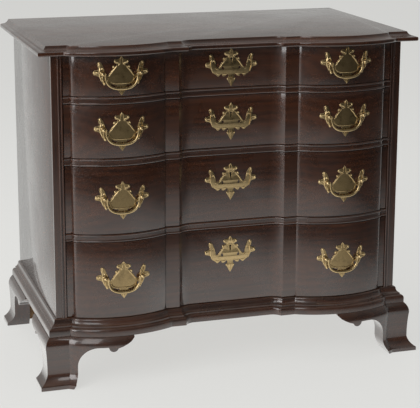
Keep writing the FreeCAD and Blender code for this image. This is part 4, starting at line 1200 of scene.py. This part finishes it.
def escutcheon_piece(number, thickness):
    """Flat chased plate round the keyhole, on the recess."""
    bm = bmesh.new()
    hole = tuple((x, z + KEYHOLE_RISE) for x, z in KEYHOLE)
    outlines = [whole(CREST + ARM + ESCUTCHEON_TAIL), (hole, KEYHOLE_CORNERS)]
    outlines += [(LOBE_PIERCING, ()), flipped(LOBE_PIERCING)]
    flat_plate(bm, outlines, thickness)
    chasing(bm, thickness)
    rim = (((2.9, 3.6), (3, 12), (4.2, 15), (2.8, 18.2), (0, 19.2)), (0.7, 0.7, 0.7, 0.7, 0.7))
    lobes = (((26.6, -20.6), (31.4, -22.4), (36.4, -18.4)), (0.7, 1.6, 0.8))
    inner = (((9.6, -19.6), (15.6, -22.2), (21.4, -20.4)), (0.7, 1.6, 0.8))
    pendant = (((2.2, -25), (2.6, -34), (0.4, -47)), (0.8, 1.4, 0.5))
    add_relief(bm, [rim, lobes, inner, pendant], thickness)
    for side in (-1, 1):
        add_dome(bm, side * 8.2, thickness, -32, 1.8, 1.2)
    bmesh.ops.translate(bm, verts=bm.verts, vec=(0, RECESS_DEPTH, ESCUTCHEON_HEIGHTS[number]))
    body = f"drawer_{number}"
    finish_piece(bm, body + "_escutcheon", body, brass(), (body + "_plates",), 40)


def post_places():
    """X of the four posts of a drawer, and the way to the middle of its pull."""
    return [(side * BLOCK_CENTRE + end * POST_REACH, -end) for side in (-1, 1) for end in (-1, 1)]


def post_pieces(number):
    """Turned posts with bored heads, round shank ends and square nuts."""
    body = f"drawer_{number}"
    z = PULL_HEIGHTS[number]
    forward, backward = Euler((math.pi / 2, 0, 0)), Euler((-math.pi / 2, 0, 0))
    seat_y = BLOCK_AXIS_Y - math.sqrt((BLOCK_RADIUS + 1.6) ** 2 - POST_REACH**2)
    length = seat_y - PIVOT_Y
    profile = (
        (0, -1.5), (5.6, -1.5), (5.7, -0.4), (5.2, 0.4), (4.1, 0.8), (3.6, 1.6),
        (3.5, length - 4.4), (4.2, length - 3.6), (4.9, length - 1.8), (5.0, length),
        (4.7, length + 1.9), (3.8, length + 3.4), (3.2, length + 3.8), (2.9, length + 4.4),
        (2.0, length + 5.1), (0, length + 5.35),
    )
    bm = bmesh.new()
    eyes = bmesh.new()
    eye_radius, eye_depth, eye_inset = 1.75, 5, 3.5
    across = Matrix.Rotation(math.pi / 2, 4, "Y")
    for x, inward in post_places():
        add_turning(bm, profile, (x, seat_y, z), forward)
        eye = Matrix.Translation((x + inward * eye_inset, PIVOT_Y, z)) @ across
        bmesh.ops.create_cone(
            eyes, cap_ends=True, segments=16, radius1=eye_radius, radius2=eye_radius,
            depth=eye_depth, matrix=eye)
    bm = sawn(bm, eyes)
    finish_piece(bm, body + "_pull_posts", body, brass(), (body + "_posts",), 40)
    nuts = bmesh.new()
    half, thickness = 4.5, 3
    for x, _ in post_places():
        verts = add_box(
            nuts, x - half, x + half, FRONT_BACK, FRONT_BACK + thickness, z - half, z + half)
        corners = list({edge for vert in verts for edge in vert.link_edges})
        bevelled(nuts, corners, 0.5, 2)
        shank = ((0, -1), (1.9, -1), (1.9, 4.0), (1.4, 4.5), (0, 4.5))
        add_turning(nuts, shank, (x, FRONT_BACK, z), backward, 12)
    finish_piece(nuts, body + "_nuts", body, brass(), (body + "_posts",))


def bail_piece(side, number):
    """Hanging bail, thick in the middle, its ends turned out into the posts."""
    sizes = bpy.context.scene.chest_sizes
    end, middle = sizes.bail_end_radius / MM, sizes.bail_middle_radius / MM
    half = (
        ((41.4, 0), 1.6), ((38.4, 0), 1.6), ((38.1, 0), 2.5), ((37.4, -0.2), 2.9),
        ((36.6, -1.6), 2.6), ((36.8, -6), end), ((36.2, -12), end), ((34, -19.5), end + 0.2),
        ((29.6, -26), end + 0.5), ((22.5, -31), end + 0.75), ((13, -33.8), middle - 0.1),
        ((5, -BAIL_DROP), middle),
    )
    points = [place for place, _ in half] + [(-x, z) for (x, z), _ in half[::-1]]
    radii = [radius for _, radius in half + half[::-1]]
    bm = bmesh.new()
    places = [(side * BLOCK_CENTRE + x, PIVOT_Y, PULL_HEIGHTS[number] + z) for x, z in points]
    add_rod(bm, places, radii, 5, 5)
    body = f"drawer_{number}_bail_{hand(side)}"
    name = f"drawer_{number}_{hand(side)}_handle"
    finish_piece(bm, name, body, brass(), (body,), 50)


# ---------------- locks and nails
def lock_pieces(number):
    """Half mortise lock with its screws and selvedge, and its bolt."""
    body = f"drawer_{number}"
    eased_node(body + "_lock_case", body + "_lock_box", body, iron(), 0.0005)
    eased_node(body + "_lock_bolt", body + "_bolt", body + "_lock_bolt", iron(), 0.0004)
    top = OPENINGS[number][1] - DRAWER_GAP
    bm = bmesh.new()
    backward = Euler((-math.pi / 2, 0, 0))
    head = ((0, -0.6), (2.6, -0.6), (2.6, 0.1), (1.7, 0.55), (0, 0.7))
    for x in SCREW_PLACES:
        for drop in SCREW_DROPS:
            add_turning(bm, head, (x, FRONT_BACK, top - drop), backward, 14)
    pin = ((0, -0.6), (1.7, -0.6), (1.7, 1.2), (1.2, 1.6), (0, 1.6))
    add_turning(bm, pin, (0, FRONT_BACK, ESCUTCHEON_HEIGHTS[number] + PIN_RISE), backward, 14)
    finish_piece(bm, body + "_lock_screws", body, iron())


def nail_pieces():
    """Hand made nails in the back boards and the drawer bottoms."""
    bm = bmesh.new()
    head = ((0, -0.5), (2.2, -0.5), (2.0, 0.3), (0.9, 0.8), (0, 0.9))
    backward, downward = Euler((-math.pi / 2, 0, 0)), Euler((math.pi, 0, 0))
    for side in (-1, 1):
        for z in BACK_NAIL_HEIGHTS:
            add_turning(bm, head, (side * (OPENING_HALF + 6), CASE_DEPTH, z), backward, 8)
    finish_piece(bm, "back_nails", "case", iron())
    for number, (z0, _) in OPENINGS.items():
        bm = bmesh.new()
        for x in BOTTOM_NAIL_PLACES:
            place = (x, DRAWER_END - SIDE_THICKNESS / 2, z0 + DRAWER_BOTTOM[0])
            add_turning(bm, head, place, downward, 8)
        finish_piece(bm, f"drawer_{number}_nails", f"drawer_{number}", iron())


# ---------------- stage
def floor_finish():
    """Pale floor that keeps shadows and shows as the backdrop to the camera."""
    finish, bench, surface, place = started("Pale floor")
    colour = (*bpy.context.scene.chest_colours.floor, 1)
    bench.join(surface.inputs, {
        "Base Color": colour, "Roughness": 0.9, "Specular IOR Level": 0.1})
    # What polished faces mirror of the floor: bright just before the chest, faint far in
    # front of it and to the right there, and half as bright behind it.
    split = bench.add("ShaderNodeSeparateXYZ", {0: place}).outputs
    forward = bench.ranged(split["Y"], -2.5, -0.35, 0.02, 1.8)
    behind = bench.ranged(split["Y"], -0.2, 0.6, 1.0, 0.48)
    right = bench.ranged(split["X"], 0.25, 1.2, 1.0, 0.04)
    beside = bench.maths("MAXIMUM", right, bench.ranged(split["Y"], -0.5, 0.1))
    mirrored = bench.times(bench.times(forward, beside), behind)
    path = bench.add("ShaderNodeLightPath").outputs
    strength = bench.plus(path["Is Camera Ray"], bench.times(path["Is Glossy Ray"], mirrored))
    glow = bench.add("ShaderNodeEmission", {"Color": colour, "Strength": strength}).outputs[0]
    camera_share = bench.times(path["Is Camera Ray"], 0.82)
    share = bench.plus(camera_share, bench.times(path["Is Glossy Ray"], 0.9))
    mix = bench.add("ShaderNodeMixShader", {0: share, 1: surface.outputs[0], 2: glow})
    bench.join(finish.node_tree.nodes["Material Output"].inputs, {0: mix.outputs[0]})
    return finish


def floor_piece():
    """Wide pale floor, a hair under the feet."""
    bm = bmesh.new()
    under = Matrix.Translation((0, 0, -0.0003))
    bmesh.ops.create_grid(bm, x_segments=1, y_segments=1, size=60, matrix=under)
    mesh = bpy.data.meshes.new("floor")
    bm.to_mesh(mesh)
    bm.free()
    mesh.materials.append(floor_finish())
    floor = bpy.data.objects.new("floor", mesh)
    bpy.context.scene.collection.objects.link(floor)


def backdrop():
    """World that is pale to the camera and in reflections, and lights softly."""
    world = bpy.data.worlds.new("Studio")
    bpy.context.scene.world = world
    world.use_nodes = True
    bench = Bench(world.node_tree)
    colour = (*bpy.context.scene.chest_colours.floor, 1)
    path = bench.add("ShaderNodeLightPath").outputs
    way = bench.add("ShaderNodeTexCoord").outputs["Generated"]
    depth = bench.add("ShaderNodeSeparateXYZ", {0: way}).outputs["Y"]
    mirrored = bench.ranged(depth, -0.7, 0.3, 0.16, 0.62)
    strength = bench.maths("MAXIMUM", bench.times(path["Is Camera Ray"], 0.92), mirrored)
    seen = bench.maths("MAXIMUM", path["Is Camera Ray"], path["Is Glossy Ray"])
    soft = bench.add("ShaderNodeBackground", {"Color": (1.0, 1.0, 1.0, 1), "Strength": 0.2})
    pale = bench.add("ShaderNodeBackground", {"Color": colour, "Strength": strength})
    mix = bench.add("ShaderNodeMixShader", {0: seen, 1: soft.outputs[0], 2: pale.outputs[0]})
    bench.join(world.node_tree.nodes["World Output"].inputs, {0: mix.outputs[0]})


def add_lamp(name, place, target, size, power, shown):
    """Soft lamp that looks at a target. shown lets polished pieces mirror it."""
    light = bpy.data.lights.new(name, "AREA")
    light.shape = "RECTANGLE"
    light.size, light.size_y = size
    light.energy = power
    lamp = bpy.data.objects.new(name, light)
    bpy.context.scene.collection.objects.link(lamp)
    lamp.location = place
    lamp.visible_camera = False
    lamp.visible_glossy = shown
    lamp.rotation_euler = (Vector(target) - Vector(place)).to_track_quat("-Z", "Y").to_euler()


def add_camera():
    """Camera at the height of a standing view, left of the middle."""
    data = bpy.data.cameras.new("camera")
    data.sensor_width = SENSOR_WIDTH
    data.lens = CAMERA_FOCAL / IMAGE_WIDTH * SENSOR_WIDTH
    data.shift_y = CAMERA_SHIFT
    camera = bpy.data.objects.new("camera", data)
    bpy.context.scene.collection.objects.link(camera)
    camera.location = CAMERA_PLACE
    camera.rotation_mode = "XYZ"
    turn = Matrix.Rotation(-CAMERA_YAW, 3, "Z")
    tilt = Matrix.Rotation(math.pi / 2 - CAMERA_PITCH, 3, "X")
    camera.rotation_euler = (turn @ tilt @ Matrix.Rotation(CAMERA_ROLL, 3, "Z")).to_euler()
    bpy.context.scene.camera = camera


# ---------------- operators and panel
class CHEST_OT_top(bpy.types.Operator):
    """Make the moulded top board"""

    bl_idname = "chest.top"
    bl_label = "Top board"

    def execute(self, context):
        top_piece()
        return {"FINISHED"}


class CHEST_OT_carcase(bpy.types.Operator):
    """Make the sides, bottom, back, runners and glue blocks"""

    bl_idname = "chest.carcase"
    bl_label = "Carcase"

    def execute(self, context):
        carcase_pieces()
        return {"FINISHED"}


class CHEST_OT_front_frame(bpy.types.Operator):
    """Make the beaded stiles and the blades between the drawers"""

    bl_idname = "chest.front_frame"
    bl_label = "Stiles and blades"

    def execute(self, context):
        stile_pieces()
        for number in (1, 2, 3):
            blade_piece(number)
        return {"FINISHED"}


class CHEST_OT_base(bpy.types.Operator):
    """Make the base mouldings"""

    bl_idname = "chest.base"
    bl_label = "Base mouldings"

    def execute(self, context):
        base_front_piece()
        base_side_pieces()
        return {"FINISHED"}


class CHEST_OT_feet(bpy.types.Operator):
    """Make the ogee bracket feet"""

    bl_idname = "chest.feet"
    bl_label = "Bracket feet"

    def execute(self, context):
        foot_pieces()
        return {"FINISHED"}


class CHEST_OT_drawers(bpy.types.Operator):
    """Make the dovetailed drawers"""

    bl_idname = "chest.drawers"
    bl_label = "Drawers"

    def execute(self, context):
        for number in OPENINGS:
            drawer_front_piece(number)
            drawer_box_pieces(number)
        return {"FINISHED"}


class CHEST_OT_plates(bpy.types.Operator):
    """Make the pierced plates and the escutcheons"""

    bl_idname = "chest.plates"
    bl_label = "Plates"

    def execute(self, context):
        thickness = context.scene.chest_sizes.plate_thickness / MM
        for number in OPENINGS:
            for side in (-1, 1):
                pull_plate_piece(side, number, thickness)
            escutcheon_piece(number, thickness)
        return {"FINISHED"}


class CHEST_OT_pulls(bpy.types.Operator):
    """Make the posts, their nuts and the bails"""

    bl_idname = "chest.pulls"
    bl_label = "Posts and bails"

    def execute(self, context):
        for number in OPENINGS:
            post_pieces(number)
            for side in (-1, 1):
                bail_piece(side, number)
        return {"FINISHED"}


class CHEST_OT_locks(bpy.types.Operator):
    """Make the locks and the nails"""

    bl_idname = "chest.locks"
    bl_label = "Locks and nails"

    def execute(self, context):
        for number in OPENINGS:
            lock_pieces(number)
        nail_pieces()
        return {"FINISHED"}


class CHEST_OT_stage(bpy.types.Operator):
    """Set the floor, the backdrop, the lamps and the camera"""

    bl_idname = "chest.stage"
    bl_label = "Stage"

    def execute(self, context):
        floor_piece()
        backdrop()
        for lamp in LAMPS:
            add_lamp(*lamp)
        add_camera()
        context.scene.view_settings.view_transform = "Standard"
        return {"FINISHED"}


OPERATORS = (
    CHEST_OT_top,
    CHEST_OT_carcase,
    CHEST_OT_front_frame,
    CHEST_OT_base,
    CHEST_OT_feet,
    CHEST_OT_drawers,
    CHEST_OT_plates,
    CHEST_OT_pulls,
    CHEST_OT_locks,
    CHEST_OT_stage,
)


class CHEST_PT_build(bpy.types.Panel):
    """Lists the sizes, the colours and the operators"""

    bl_idname = "CHEST_PT_build"
    bl_label = "Block front chest"
    bl_space_type = "VIEW_3D"
    bl_region_type = "UI"
    bl_category = "Chest"

    def draw(self, context):
        column = self.layout.column()
        for group in (context.scene.chest_sizes, context.scene.chest_colours):
            for name in group.__annotations__:
                column.prop(group, name)
        for operator in OPERATORS:
            column.operator(operator.bl_idname)


CLASSES = (ChestSizes, ChestColours, *OPERATORS, CHEST_PT_build)


def register():
    """Registers the classes and the settings of the chest."""
    for item in CLASSES:
        bpy.utils.register_class(item)
    bpy.types.Scene.chest_sizes = bpy.props.PointerProperty(type=ChestSizes)
    bpy.types.Scene.chest_colours = bpy.props.PointerProperty(type=ChestColours)


def unregister():
    """Removes them again."""
    del bpy.types.Scene.chest_colours
    del bpy.types.Scene.chest_sizes
    for item in reversed(CLASSES):
        bpy.utils.unregister_class(item)


def main():
    """Makes every piece in order."""
    register()
    for operator in OPERATORS:
        name = operator.bl_idname.split(".")[1]
        getattr(bpy.ops.chest, name)()


if __name__ == "__main__":
    main()
